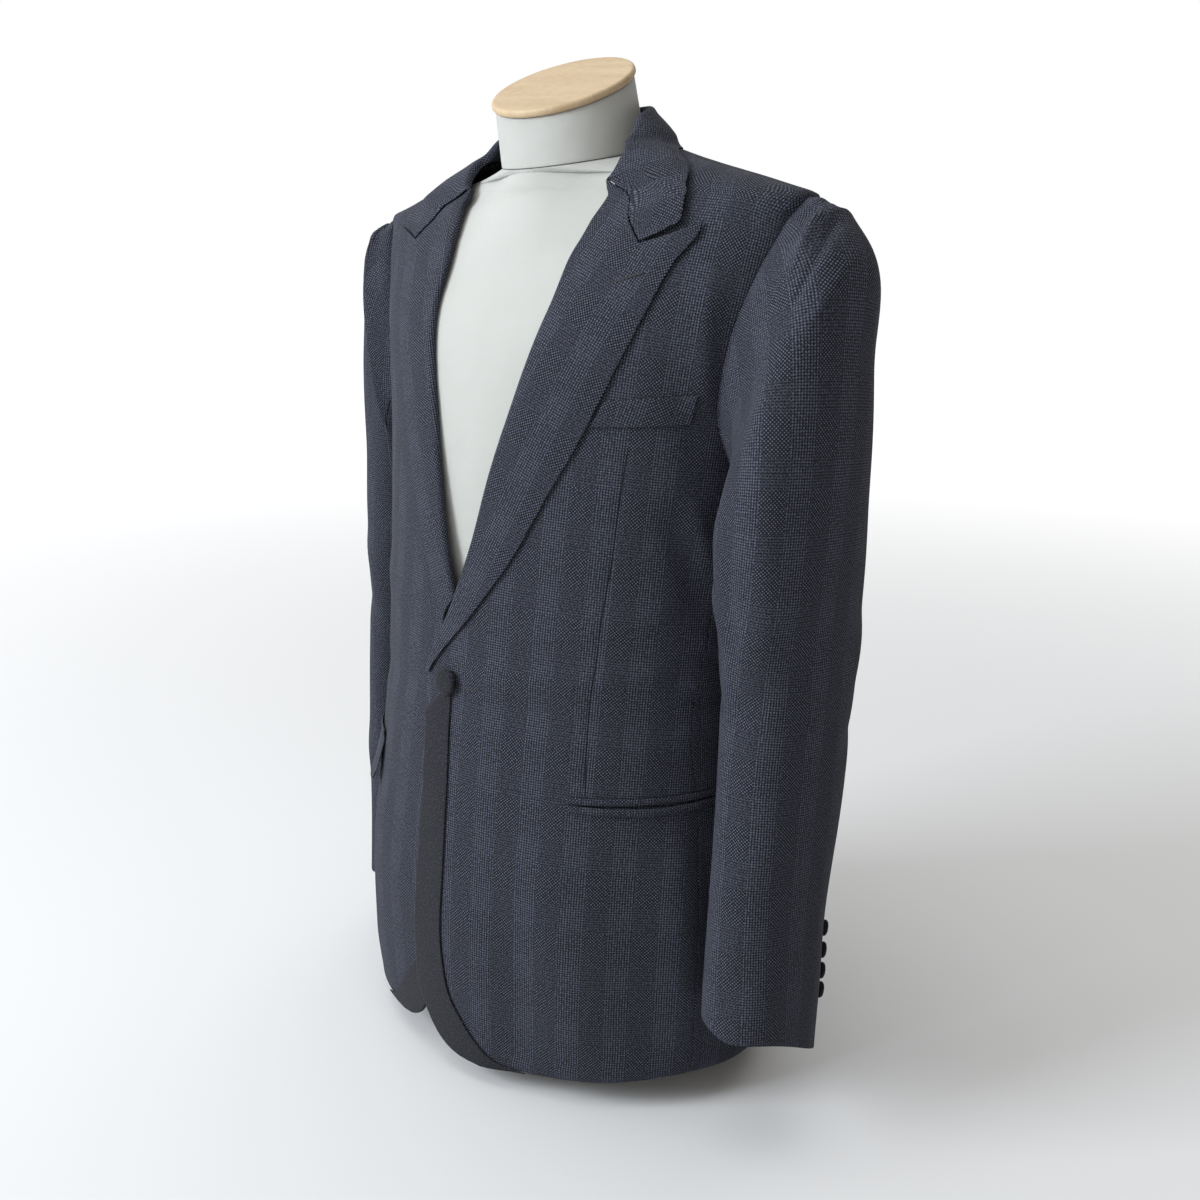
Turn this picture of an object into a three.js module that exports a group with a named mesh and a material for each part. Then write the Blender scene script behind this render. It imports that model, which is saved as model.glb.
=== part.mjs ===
// A single-button suit jacket standing on a limbless tailor's dress form.
// Millimetres. +Z is up, the front faces -Y and the wearer's left is +X.
// The origin is on the floor, at the middle of the round foot of the stand.
//
// Every cut piece of the jacket's body lies on one surface. A place on it is given by its turn
// (degrees from the middle of the front towards the wearer's left), its height above the hem,
// and how far it stands out of the surface.
import * as THREE from "three";

// ---------------------------------------------------------------- driving dimensions
const HEM_LIFT = 14; // the hem hangs this far above the floor
const WALL = 2; // worsted with its canvas and backing, pressed together
const THIN_WALL = 1.2; // bands, welts and the flap
const SEAM = 0.15; // half of the clearance between two pieces at a seam
const LAYER = 0.75; // clearance between a panel and what is laid on it
const LAP = WALL + LAYER; // the left front stands this far out where it covers the right one
const SHOULDER_LEAN = 0.038; // the wearer's left shoulder is carried higher, by this slope
const FRONT_SQUARE = 2.05; // power of the front half of a section, 2 being an ellipse
const BACK_SQUARE = 2.3;
const NECK_SQUARE = 1.8; // what BACK_SQUARE falls to round the neck

const BUTTON_DIAMETER = 22;
const CUFF_BUTTON_DIAMETER = 13;
const CUFF_BUTTONS = 4;
const BUTTON_FACETS = 14;

const TORSO_BOTTOM = 46; // height of the flat underside of the form above the hem
const NECK_RADIUS = 58; // at its foot
const CAP_RADIUS = 58.5;
const CAP_HEIGHT = 6;
const POLE_RADIUS = 16;
const FOOT_RADIUS = 122;
const FOOT_HEIGHT = 11;

// ---------------------------------------------------------------- finishes
const WORSTED = { color: 0x33353d, roughness: 0.92, metalness: 0 };
const PLAIN_CLOTH = { color: 0x2a2725, roughness: 0.95, metalness: 0 };
const LINEN = { color: 0xe6e3d8, roughness: 0.9, metalness: 0 };
const PALE_WOOD = { color: 0xd2bb98, roughness: 0.6, metalness: 0 };
const BROWN_WOOD = { color: 0x7a4d2c, roughness: 0.5, metalness: 0 };

// ---------------------------------------------------------------- body sections
// Level sections of the jacket: half width at the sides, depth to the front and to the back.
const BODY = [
  { z: -10, side: 195, front: 145, back: 122 },
  { z: 60, side: 198, front: 151, back: 125 },
  { z: 150, side: 196, front: 155, back: 122 },
  { z: 250, side: 182, front: 149, back: 108 },
  { z: 330, side: 178, front: 141, back: 97 },
  { z: 400, side: 178, front: 136, back: 95 },
  { z: 470, side: 180, front: 131, back: 101 },
  { z: 530, side: 186, front: 124, back: 109 },
  { z: 600, side: 200, front: 111, back: 112 },
  { z: 650, side: 212, front: 88, back: 101 },
  { z: 680, side: 218, front: 70, back: 86 },
  { z: 697, side: 221, front: 58, back: 74 },
  { z: 704, side: 200, front: 55, back: 71 },
  { z: 711, side: 177, front: 54, back: 70 },
  { z: 718, side: 152, front: 53, back: 70 },
  { z: 726, side: 124, front: 52, back: 69 },
  { z: 731, side: 109, front: 52, back: 66 },
  { z: 737, side: 91, front: 52, back: 61 },
  { z: 748, side: 79, front: 54, back: 58 },
  { z: 761, side: 65.5, front: 56, back: 51 },
  { z: 768, side: 61, front: 57, back: 50 },
  { z: 776, side: 59.5, front: 57, back: 49 },
  { z: 800, side: 58, front: 57, back: 48 },
];

// The panels share these rows, from the hem to the shoulder, so their seams meet row by row.
// A front's inner edge is its front edge up to the break at row 9, the roll line up to row 16
// and then the neckline. Its outer edge is the side seam, and the armhole from row 12.
// lapel and band say how far across the row they reach, as a share of its width.
const LEFT_FRONT = [
  { edgeTurn: 12, edgeZ: 3, sideTurn: 70, sideZ: 15, band: 0.2, lapel: 0 },
  { edgeTurn: 4, edgeZ: 6, sideTurn: 70, sideZ: 28, band: 0.19, lapel: 0 },
  { edgeTurn: -1.5, edgeZ: 16, sideTurn: 70, sideZ: 48, band: 0.185, lapel: 0 },
  { edgeTurn: -5.6, edgeZ: 35, sideTurn: 70, sideZ: 74, band: 0.163, lapel: 0 },
  { edgeTurn: -8.4, edgeZ: 60, sideTurn: 70.5, sideZ: 105, band: 0.14, lapel: 0 },
  { edgeTurn: -8.3, edgeZ: 110, sideTurn: 71.3, sideZ: 150, band: 0.124, lapel: 0 },
  { edgeTurn: -7.4, edgeZ: 170, sideTurn: 72.2, sideZ: 195, band: 0.122, lapel: 0 },
  { edgeTurn: -7, edgeZ: 230, sideTurn: 73.5, sideZ: 245, band: 0.118, lapel: 0 },
  { edgeTurn: -7.6, edgeZ: 285, sideTurn: 71, sideZ: 300, band: 0.116, lapel: 0 },
  { edgeTurn: -8.7, edgeZ: 329, sideTurn: 73, sideZ: 338, band: 0.12, lapel: 0.012 },
  { edgeTurn: 0, edgeZ: 387, sideTurn: 76.5, sideZ: 387, band: 0, lapel: 0.1 },
  { edgeTurn: 5.2, edgeZ: 436, sideTurn: 79.5, sideZ: 436, band: 0, lapel: 0.18 },
  { edgeTurn: 9.6, edgeZ: 494, sideTurn: 82, sideZ: 490, band: 0, lapel: 0.255 },
  { edgeTurn: 14.8, edgeZ: 560, sideTurn: 70.5, sideZ: 545, band: 0, lapel: 0.388 },
  { edgeTurn: 18.2, edgeZ: 616, sideTurn: 68.2, sideZ: 600, band: 0, lapel: 0.475 },
  { edgeTurn: 19, edgeZ: 664, sideTurn: 70.5, sideZ: 650, band: 0, lapel: 0.525 },
  { edgeTurn: 25, edgeZ: 708, sideTurn: 76, sideZ: 680, band: 0, lapel: 0.53 },
  { edgeTurn: 52, edgeZ: 727, sideTurn: 83, sideZ: 692, band: 0, lapel: 0 },
  { edgeTurn: 90, edgeZ: 737, sideTurn: 90, sideZ: 697, band: 0, lapel: 0 },
];
const BREAK_ROW = 9;
const ARMHOLE_ROW = 12;
const GORGE_ROW = 16;
const SHOULDER_ROW = 18;

// The right front passes under the left one; its turns are counted towards the wearer's right.
const RIGHT_EDGE = [
  { edgeTurn: 20, edgeZ: 8 },
  { edgeTurn: 15.5, edgeZ: 11 },
  { edgeTurn: 11.5, edgeZ: 20 },
  { edgeTurn: 7.5, edgeZ: 38 },
  { edgeTurn: 2, edgeZ: 64 },
  { edgeTurn: -1, edgeZ: 110 },
  { edgeTurn: -3.5, edgeZ: 170 },
  { edgeTurn: -4.5, edgeZ: 230 },
  { edgeTurn: -5.5, edgeZ: 285 },
  { edgeTurn: -7, edgeZ: 329 },
];

// Backs: the seam to the side panel, the armhole from row 12, and heights along the middle seam.
const BACK = [
  { seamTurn: 119, seamZ: 12, middleZ: 10 },
  { seamTurn: 119, seamZ: 27, middleZ: 24 },
  { seamTurn: 119, seamZ: 47, middleZ: 44 },
  { seamTurn: 119, seamZ: 73, middleZ: 70 },
  { seamTurn: 119, seamZ: 104, middleZ: 100 },
  { seamTurn: 119.5, seamZ: 150, middleZ: 146 },
  { seamTurn: 120, seamZ: 195, middleZ: 192 },
  { seamTurn: 121, seamZ: 245, middleZ: 243 },
  { seamTurn: 121.5, seamZ: 300, middleZ: 298 },
  { seamTurn: 121.5, seamZ: 338, middleZ: 336 },
  { seamTurn: 120.5, seamZ: 387, middleZ: 388 },
  { seamTurn: 118.5, seamZ: 436, middleZ: 438 },
  { seamTurn: 115, seamZ: 492, middleZ: 496 },
  { seamTurn: 109, seamZ: 545, middleZ: 556 },
  { seamTurn: 106, seamZ: 600, middleZ: 612 },
  { seamTurn: 103, seamZ: 645, middleZ: 664 },
  { seamTurn: 98, seamZ: 680, middleZ: 706 },
  { seamTurn: 94, seamZ: 692, middleZ: 728 },
  { seamTurn: 90, seamZ: 697, middleZ: 744 },
];
const ARMPIT_DIP = 13; // the armhole's lowest point below the tops of the side seams

// ---------------------------------------------------------------- sleeve sections
// Rings below the armhole: centre, half width across, half depth, tilt of the ring's outer
// side upwards, and how much higher its front edge is than its middle, for each mm of depth.
const LEFT_SLEEVE = [
  { x: 220, y: -3, z: 587, across: 112, deep: 52, tilt: 75, rake: 0 },
  { x: 231, y: -9, z: 567, across: 102, deep: 59, tilt: 65, rake: 0 },
  { x: 233, y: -16, z: 525, across: 78, deep: 65, tilt: 55, rake: 0 },
  { x: 233, y: -16, z: 472, across: 53, deep: 69, tilt: 32, rake: 0 },
  { x: 232, y: -11, z: 412, across: 42, deep: 69, tilt: 6, rake: 0 },
  { x: 232, y: -9, z: 334, across: 39, deep: 63, tilt: 0, rake: 0.05 },
  { x: 233, y: -14, z: 254, across: 37, deep: 61, tilt: 0, rake: 0.12 },
  { x: 236, y: -27, z: 175, across: 35, deep: 56, tilt: 0, rake: 0.25 },
  { x: 240, y: -35, z: 118, across: 35, deep: 56, tilt: 0, rake: 0.42 },
  { x: 243, y: -41, z: 74, across: 35, deep: 55, tilt: 0, rake: 0.56 },
];
const RIGHT_SLEEVE = [
  { x: 211, y: 0, z: 580, across: 104, deep: 52, tilt: 78, rake: 0 },
  { x: 210, y: 7, z: 556, across: 95, deep: 58, tilt: 75, rake: 0 },
  { x: 213.5, y: 14, z: 516, across: 71, deep: 60, tilt: 64.5, rake: 0 },
  { x: 216.5, y: 19, z: 466, across: 43, deep: 60, tilt: 41, rake: 0 },
  { x: 217, y: 19, z: 412, across: 32, deep: 61, tilt: 6, rake: 0 },
  { x: 216, y: 15, z: 334, across: 31, deep: 59, tilt: 0, rake: 0.05 },
  { x: 221, y: 14, z: 254, across: 30, deep: 57, tilt: 0, rake: 0.1 },
  { x: 229, y: 16, z: 172, across: 29, deep: 54, tilt: 0, rake: 0.18 },
  { x: 233, y: 17, z: 108, across: 28, deep: 52, tilt: 0, rake: 0.26 },
  { x: 234, y: 15, z: 47, across: 28, deep: 51, tilt: 0, rake: 0.3 },
];
const SLEEVE_SQUARE = 2.3;
const ARMHOLE_CLEAR = 0.984; // the sleeve starts inside the armhole, shrunk by this factor
const UNDER_ARM_REACH = 2.4; // the ring by which the sleeve's underside has left the armhole
const CUFF_DIP = 15; // the cuff's edge hangs this much lower between its outside and its front
const CUFF_DIP_SHARE = 0.21;
const FRONT_SEAM = 0.345; // round the sleeve: 0 is outside, 0.25 front, 0.5 inside, 0.75 back
const HIND_SEAM_TOP = 0.715;
const HIND_SEAM_CUFF = 0.815;

// ---------------------------------------------------------------- number helpers
const RADIANS = Math.PI / 180;
const mix = (a, b, t) => a + (b - a) * t;
const clamp = (value) => Math.min(Math.max(value, 0), 1);
const ease = (value) => clamp(value) ** 2 * (3 - 2 * clamp(value));
const range = (count) => Array.from({ length: count }, (_, i) => i);

// The value at a place between knots, on a cubic whose slope at each knot comes from its two
// neighbours.
function through(knots, values, place) {
  const last = knots.length - 1;
  let i = 0;
  while (i < last - 1 && place > knots[i + 1]) i += 1;
  const slope = (k) => {
    const low = Math.max(k - 1, 0);
    const high = Math.min(k + 1, last);
    return (values[high] - values[low]) / (knots[high] - knots[low]);
  };
  const span = knots[i + 1] - knots[i];
  const t = clamp((place - knots[i]) / span);
  const rise = t * t * (3 - 2 * t);
  const leave = t * (1 - t) * (1 - t) * span * slope(i);
  const arrive = t * t * (t - 1) * span * slope(i + 1);
  return mix(values[i], values[i + 1], rise) + leave + arrive;
}

// A table's column as a smooth function of its row number, or of another column.
function column(table, name, key) {
  const knots = table.map((row, i) => (key ? row[key] : i));
  const values = table.map((row) => row[name]);
  return (place) => through(knots, values, place);
}

// ---------------------------------------------------------------- the body surface
const sideAt = column(BODY, "side", "z");
const frontAt = column(BODY, "front", "z");
const backAt = column(BODY, "back", "z");

function bodySurface(turn, z) {
  const across = Math.sin(turn * RADIANS);
  const ahead = Math.cos(turn * RADIANS);
  const nearNeck = ease((z - 715) / 35);
  const square = ahead > 0 ? FRONT_SQUARE : mix(BACK_SQUARE, NECK_SQUARE, nearNeck);
  const depth = ahead > 0 ? frontAt(z) : backAt(z);
  const size = (Math.abs(across) ** square + Math.abs(ahead) ** square) ** (1 / square);
  const x = (sideAt(z) * across) / size;
  const lean = SHOULDER_LEAN * x * ease((z - 668) / 36);
  return new THREE.Vector3(x, (-depth * ahead) / size, z + lean + HEM_LIFT);
}

function bodyNormal(turn, z) {
  const around = bodySurface(turn + 0.5, z).sub(bodySurface(turn - 0.5, z));
  const up = bodySurface(turn, z + 1).sub(bodySurface(turn, z - 1));
  return around.cross(up).normalize();
}

function bodyPoint(turn, z, out) {
  return bodySurface(turn, z).addScaledVector(bodyNormal(turn, z), out);
}

// ---------------------------------------------------------------- closed solids from faces
function solid(positions, triangles) {
  const geometry = new THREE.BufferGeometry();
  geometry.setAttribute("position", new THREE.Float32BufferAttribute(positions, 3));
  geometry.setIndex(triangles);
  return geometry;
}

// Six times the volume that the triangles enclose; negative when they face inwards.
function signedVolume(points, triangles) {
  let sum = 0;
  for (let i = 0; i < triangles.length; i += 3) {
    const [a, b, c] = [0, 1, 2].map((k) => points[triangles[i + k]]);
    sum += a.dot(new THREE.Vector3().crossVectors(b, c));
  }
  return sum;
}

function closedGeometry(points, triangles) {
  const facing = signedVolume(points, triangles) < 0
    ? triangles.map((_, i) => triangles[i - (i % 3) + [0, 2, 1][i % 3]])
    : triangles;
  return solid(points.flatMap((p) => p.toArray()), facing);
}

// A wall between two faces that share a grid. Each face is a function of two shares, across
// and along; the rim joins them all round.
function wall(face, lining, acrossPlaces, alongPlaces) {
  const columns = acrossPlaces.length;
  const rows = alongPlaces.length;
  const points = [];
  for (const side of [face, lining]) {
    for (const along of alongPlaces) {
      for (const across of acrossPlaces) points.push(side(across, along));
    }
  }
  const at = (layer, row, col) => (layer * rows + row) * columns + col;
  const triangles = [];
  const quad = (a, b, c, d) => triangles.push(a, b, c, a, c, d);
  for (let row = 0; row < rows - 1; row += 1) {
    for (let col = 0; col < columns - 1; col += 1) {
      quad(at(0, row, col), at(0, row, col + 1), at(0, row + 1, col + 1), at(0, row + 1, col));
      quad(at(1, row, col), at(1, row + 1, col), at(1, row + 1, col + 1), at(1, row, col + 1));
    }
  }
  for (let col = 0; col < columns - 1; col += 1) {
    const top = rows - 1;
    quad(at(0, 0, col), at(1, 0, col), at(1, 0, col + 1), at(0, 0, col + 1));
    quad(at(0, top, col), at(0, top, col + 1), at(1, top, col + 1), at(1, top, col));
  }
  for (let row = 0; row < rows - 1; row += 1) {
    const end = columns - 1;
    quad(at(0, row, 0), at(0, row + 1, 0), at(1, row + 1, 0), at(1, row, 0));
    quad(at(0, row, end), at(1, row, end), at(1, row + 1, end), at(0, row + 1, end));
  }
  return closedGeometry(points, triangles);
}

// A solid skinned over closed rings with the same count of points, flat at both ends.
function loft(rings) {
  const count = rings[0].length;
  const points = rings.flat();
  const middle = (ring) => {
    const sum = ring.reduce((total, p) => total.add(p), new THREE.Vector3());
    return sum.divideScalar(ring.length);
  };
  points.push(middle(rings[0]), middle(rings[rings.length - 1]));
  const low = points.length - 2;
  const high = points.length - 1;
  const top = (rings.length - 1) * count;
  const triangles = [];
  for (const i of range(count)) {
    const next = (i + 1) % count;
    for (const ring of range(rings.length - 1)) {
      const a = ring * count;
      triangles.push(a + i, a + next, a + count + next, a + i, a + count + next, a + count + i);
    }
    triangles.push(low, next, i, high, top + i, top + next);
  }
  return closedGeometry(points, triangles);
}

const model = new THREE.Group();
function piece(name, geometry, finish) {
  const mesh = new THREE.Mesh(geometry, new THREE.MeshStandardMaterial(finish));
  mesh.name = name;
  model.add(mesh);
}

// ---------------------------------------------------------------- panels of the body
const steps = (count) => range(count + 1).map((i) => i / count);

// Row places between two rows, with half rows where rows are far apart.
function rowPlaces(first, last) {
  const places = [];
  for (let row = first; row < last; row += 1) {
    places.push(row);
    if (LEFT_FRONT[row + 1].edgeZ - LEFT_FRONT[row].edgeZ > 45) places.push(row + 0.5);
  }
  places.push(last);
  return places;
}

const RIGHT_FRONT = LEFT_FRONT.map((row, i) => ({ ...row, ...RIGHT_EDGE[i] }));

function frontMap(table) {
  const edgeTurn = column(table, "edgeTurn");
  const edgeZ = column(table, "edgeZ");
  const sideTurn = column(table, "sideTurn");
  const sideZ = column(table, "sideZ");
  return (share, row) => ({
    turn: mix(edgeTurn(row), sideTurn(row), share),
    z: mix(edgeZ(row), sideZ(row), share),
  });
}

// How far the left front stands out over the right one and, low down, over its band too,
// fading past the right front's edge.
function lapOut(turn, z) {
  const past = ease((turn - 11) / 13);
  const above = ease((z - 392) / 70);
  const overBand = (THIN_WALL + LAYER) * (1 - ease((z - 95) / 80));
  return (LAP * (1 - above) + overBand) * (1 - past);
}

// A wall on the body surface over a map of places, its outer face `out` from the surface.
function panel(map, out, thick, acrossPlaces, rows, side) {
  const face = (depth) => (share, row) => {
    const { turn, z } = map(share, row);
    return bodyPoint(side * turn, z, out(turn, z, share) - depth);
  };
  return wall(face(0), face(thick), acrossPlaces, rows);
}

// Shrinks a map so that its border keeps half a seam's clearance on all four sides.
function inset(map, width, firstRow, lastRow, clear = SEAM) {
  const edge = clear / width;
  return (share, row) => {
    const nudge = 0.006 * (clear / SEAM);
    const inner = Math.min(Math.max(row, firstRow + nudge), lastRow - nudge);
    return map(mix(edge, 1 - edge, share), inner);
  };
}

// The side panel fills from the front's side seam to the back's, and dips under the arm.
function sideMap() {
  const frontTurn = column(LEFT_FRONT, "sideTurn");
  const frontZ = column(LEFT_FRONT, "sideZ");
  const backTurn = column(BACK, "seamTurn");
  const backZ = column(BACK, "seamZ");
  return (share, row) => {
    const dip = ARMPIT_DIP * Math.sin(Math.PI * share) * (row / ARMHOLE_ROW) ** 6;
    return {
      turn: mix(frontTurn(row), backTurn(row), share),
      z: mix(frontZ(row), backZ(row), share) - dip,
    };
  };
}

// A back runs from its side seam and armhole to the middle seam. Its top row turns at the
// neck point, from the shoulder seam into the neckline.
const SHOULDER_SHARE = 0.6;
function backMap() {
  const seamTurn = column(BACK, "seamTurn");
  const seamZ = column(BACK, "seamZ");
  const middleZ = column(BACK, "middleZ");
  const neck = { turn: 90, z: LEFT_FRONT[SHOULDER_ROW].edgeZ };
  const end = BACK[SHOULDER_ROW];
  return (share, row) => {
    const along = share / SHOULDER_SHARE;
    const round = (share - SHOULDER_SHARE) / (1 - SHOULDER_SHARE);
    const top = along < 1
      ? { turn: mix(end.seamTurn, neck.turn, along), z: mix(end.seamZ, neck.z, along) }
      : { turn: mix(neck.turn, 180, round), z: mix(neck.z, end.middleZ, round) };
    const straight = { turn: mix(end.seamTurn, 180, share), z: mix(end.seamZ, end.middleZ, share) };
    const pull = clamp((row - ARMHOLE_ROW) / (SHOULDER_ROW - ARMHOLE_ROW)) ** 1.7;
    return {
      turn: mix(seamTurn(row), 180, share) + pull * (top.turn - straight.turn),
      z: mix(seamZ(row), middleZ(row), share) + pull * (top.z - straight.z),
    };
  };
}

const PANEL_WIDTH = 200;
const SIDE_WIDTH = 110;
const frontPlaces = steps(10);
const sidePlaces = steps(5);
const backPlaces = steps(8);
const leftMap = frontMap(LEFT_FRONT);
const rightMap = frontMap(RIGHT_FRONT);
const bodyRows = rowPlaces(0, SHOULDER_ROW);
const sideRows = rowPlaces(0, ARMHOLE_ROW);
const flat = () => 0;

function bodyPanels(side, word, map, out) {
  const front = inset(map, PANEL_WIDTH, 0, SHOULDER_ROW);
  const under = inset(sideMap(), SIDE_WIDTH, 0, ARMHOLE_ROW);
  const back = inset(backMap(), PANEL_WIDTH, 0, SHOULDER_ROW);
  piece(`front_${word}`, panel(front, out, WALL, frontPlaces, bodyRows, side), WORSTED);
  piece(`side_${word}`, panel(under, flat, WALL, sidePlaces, sideRows, side), WORSTED);
  piece(`back_${word}`, panel(back, flat, WALL, backPlaces, bodyRows, side), WORSTED);
}
bodyPanels(1, "left", leftMap, lapOut);
bodyPanels(-1, "right", rightMap, flat);

// ---------------------------------------------------------------- lapels and bands
// The lapel is the front turned back on itself: its rows are the front's own, moved out. Its
// top row bends at the notch, from the gorge seam into the edge of the peak.
const GORGE = { turn: 28.7, z: 684 };
const NOTCH = { turn: 34.2, z: 667 };
const PEAK = { turn: 48, z: 682 };
const COLLAR_TIP = { turn: 42.5, z: 680 };
const NOTCH_SHARE = 0.5;

function lapelTop(share) {
  const roll = { turn: LEFT_FRONT[GORGE_ROW].edgeTurn, z: LEFT_FRONT[GORGE_ROW].edgeZ };
  const half = NOTCH_SHARE / 2;
  const [from, to, t] = share < half ? [roll, GORGE, share / half]
    : share < NOTCH_SHARE ? [GORGE, NOTCH, (share - half) / half]
    : [NOTCH, PEAK, (share - NOTCH_SHARE) / (1 - NOTCH_SHARE)];
  return { turn: mix(from.turn, to.turn, t), z: mix(from.z, to.z, t) };
}

function lapelMap(map, table) {
  const reach = column(table, "lapel");
  return (share, row) => {
    const base = map(share * reach(row), row);
    const pull = clamp((row - 13) / (GORGE_ROW - 13)) ** 2;
    const start = map(0, GORGE_ROW);
    const end = map(reach(GORGE_ROW), GORGE_ROW);
    const top = lapelTop(share);
    return {
      turn: base.turn + pull * (top.turn - mix(start.turn, end.turn, share)),
      z: base.z + pull * (top.z - mix(start.z, end.z, share)),
    };
  };
}
const lapelPlaces = [0, 0.125, 0.25, 0.375, 0.5, 0.75, 1];

// The lower end of a lapel may slant: its outer edge then starts `slant` rows lower.
function lapel(side, word, map, firstRow, slant, out) {
  const level = inset(lapelMap(map, LEFT_FRONT), 60, firstRow, GORGE_ROW);
  const full = lapelMap(map, LEFT_FRONT);
  const place = (share, row) => {
    const lower = slant * share * clamp(1 - (row - firstRow) / 1.5);
    return lower > 0 ? full(mix(0.003, 0.997, share), row - lower) : level(share, row);
  };
  const raised = (turn, z) => out(turn, z) + LAP + 0.5 * ease((z - 640) / 30);
  const rows = [firstRow, ...bodyRows.filter((row) => row > firstRow && row <= GORGE_ROW)];
  piece(`lapel_${word}`, panel(place, raised, WALL, lapelPlaces, rows, side), WORSTED);
}
lapel(1, "left", leftMap, BREAK_ROW, 0, lapOut);
lapel(-1, "right", rightMap, 10.1, 0.38, flat);

// The plain band lies along a front's edge, from the hem up. Its upper end may slant, and is
// then higher away from the edge.
const BAND_SLANT = 0.62;
function band(side, word, map, lastRow, slant, out) {
  const reach = column(LEFT_FRONT, "band");
  const level = inset((share, row) => map(share * reach(row), row), 20, 0, SHOULDER_ROW, 0.05);
  const strip = (share, row) => level(share, row + slant * (share - 0.5) * clamp(row - lastRow + 1));
  const rows = [...bodyRows.filter((row) => row < lastRow), lastRow];
  const raised = (turn, z) => out(turn, z) + LAYER + THIN_WALL;
  piece(`band_${word}`, panel(strip, raised, THIN_WALL, steps(2), rows, side), PLAIN_CLOTH);
}

// The left band ends just below the button. Of the right one only the lowest part is free to be
// seen; above it there is no room between the two fronts.
band(1, "left", leftMap, 8.6, BAND_SLANT, lapOut);
band(-1, "right", rightMap, 4, 0, flat);

// ---------------------------------------------------------------- collar
// Rows run round the neck, from one collar tip to the other. fold is where the collar turns
// over, seam is the neckline, and edge is the fall's free edge.
const COLLAR = [
  { foldTurn: 25.5, foldZ: 708.5, seamTurn: 26.5, seamZ: 706.5, edgeTurn: 42.5, edgeZ: 681, belly: 0 },
  { foldTurn: 38.5, foldZ: 722.5, seamTurn: 39.5, seamZ: 718.5, edgeTurn: 42.5, edgeZ: 699, belly: 0.5 },
  { foldTurn: 60, foldZ: 739, seamTurn: 62, seamZ: 732, edgeTurn: 60, edgeZ: 717, belly: 1 },
  { foldTurn: 84, foldZ: 758, seamTurn: 88, seamZ: 738, edgeTurn: 86, edgeZ: 732, belly: 1.5 },
  { foldTurn: 115, foldZ: 767, seamTurn: 120, seamZ: 742, edgeTurn: 121, edgeZ: 736, belly: 2 },
  { foldTurn: 148, foldZ: 771, seamTurn: 150, seamZ: 744, edgeTurn: 150, edgeZ: 735, belly: 2 },
  { foldTurn: 180, foldZ: 772, seamTurn: 180, seamZ: 745, edgeTurn: 180, edgeZ: 734, belly: 2 },
];
const COLLAR_END = COLLAR.length - 1;
const collarValue = (name) => {
  const half = column(COLLAR, name);
  return (row) => half(row <= COLLAR_END ? row : 2 * COLLAR_END - row);
};
const mirrored = (turn, row) => (row <= COLLAR_END ? turn : 360 - turn);

// The fall's short ends follow the gorge seam to the notch, and then the collar's own edge.
function collarFront(share) {
  const start = { turn: COLLAR[0].foldTurn, z: COLLAR[0].foldZ };
  const [from, to, t] = share < 0.25 ? [start, GORGE, share / 0.25]
    : share < 0.5 ? [GORGE, NOTCH, (share - 0.25) / 0.25]
    : [NOTCH, COLLAR_TIP, (share - 0.5) / 0.5];
  return { turn: mix(from.turn, to.turn, t), z: mix(from.z, to.z, t) };
}

// The fall stands over the lapel at the gorge, and comes down onto the stand behind it.
const FALL_OUT_FRONT = 2 * LAP;
const FALL_OUT_BACK = LAP + 1.3;
const COLLAR_GAP = 1.2; // the fold's two halves stay this far apart in height
function collarFall() {
  const names = ["foldTurn", "foldZ", "edgeTurn", "edgeZ", "belly"];
  const [foldTurn, foldZ, edgeTurn, edgeZ, belly] = names.map(collarValue);
  const first = COLLAR[0];
  const face = (depth) => (share, row) => {
    const away = Math.min(row, 2 * COLLAR_END - row);
    const pull = (1 - clamp(away)) ** 2;
    const front = collarFront(share);
    const turnShift = pull * (front.turn - mix(first.foldTurn, first.edgeTurn, share));
    const zShift = pull * (front.z - mix(first.foldZ, first.edgeZ, share));
    const turn = mix(foldTurn(row), edgeTurn(row), share) + turnShift;
    const lift = COLLAR_GAP * (1 - away / COLLAR_END);
    const z = mix(foldZ(row), edgeZ(row), share) + zShift + lift;
    const base = mix(FALL_OUT_FRONT, FALL_OUT_BACK, ease((away - 0.8) / 1.7));
    const out = base + belly(row) * 4 * share * (1 - share);
    return bodyPoint(mirrored(turn, row), z, out - depth);
  };
  const rows = steps(24).map((share) => share * 2 * COLLAR_END);
  piece("collar_fall", wall(face(0), face(WALL), steps(4), rows), WORSTED);
}
collarFall();

function collarStand() {
  const names = ["foldTurn", "foldZ", "seamTurn", "seamZ"];
  const [foldTurn, foldZ, seamTurn, seamZ] = names.map(collarValue);
  const clear = 1.5;
  const face = (depth) => (share, row) => {
    const turn = mix(seamTurn(row), foldTurn(row), share);
    const z = mix(seamZ(row) + clear, foldZ(row) - clear, share);
    return bodyPoint(mirrored(turn, row), z, LAYER - depth);
  };
  const rows = steps(20).map((share) => mix(0.7, 2 * COLLAR_END - 0.7, share));
  piece("collar_stand", wall(face(0), face(WALL), steps(2), rows), WORSTED);
}
collarStand();

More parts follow.
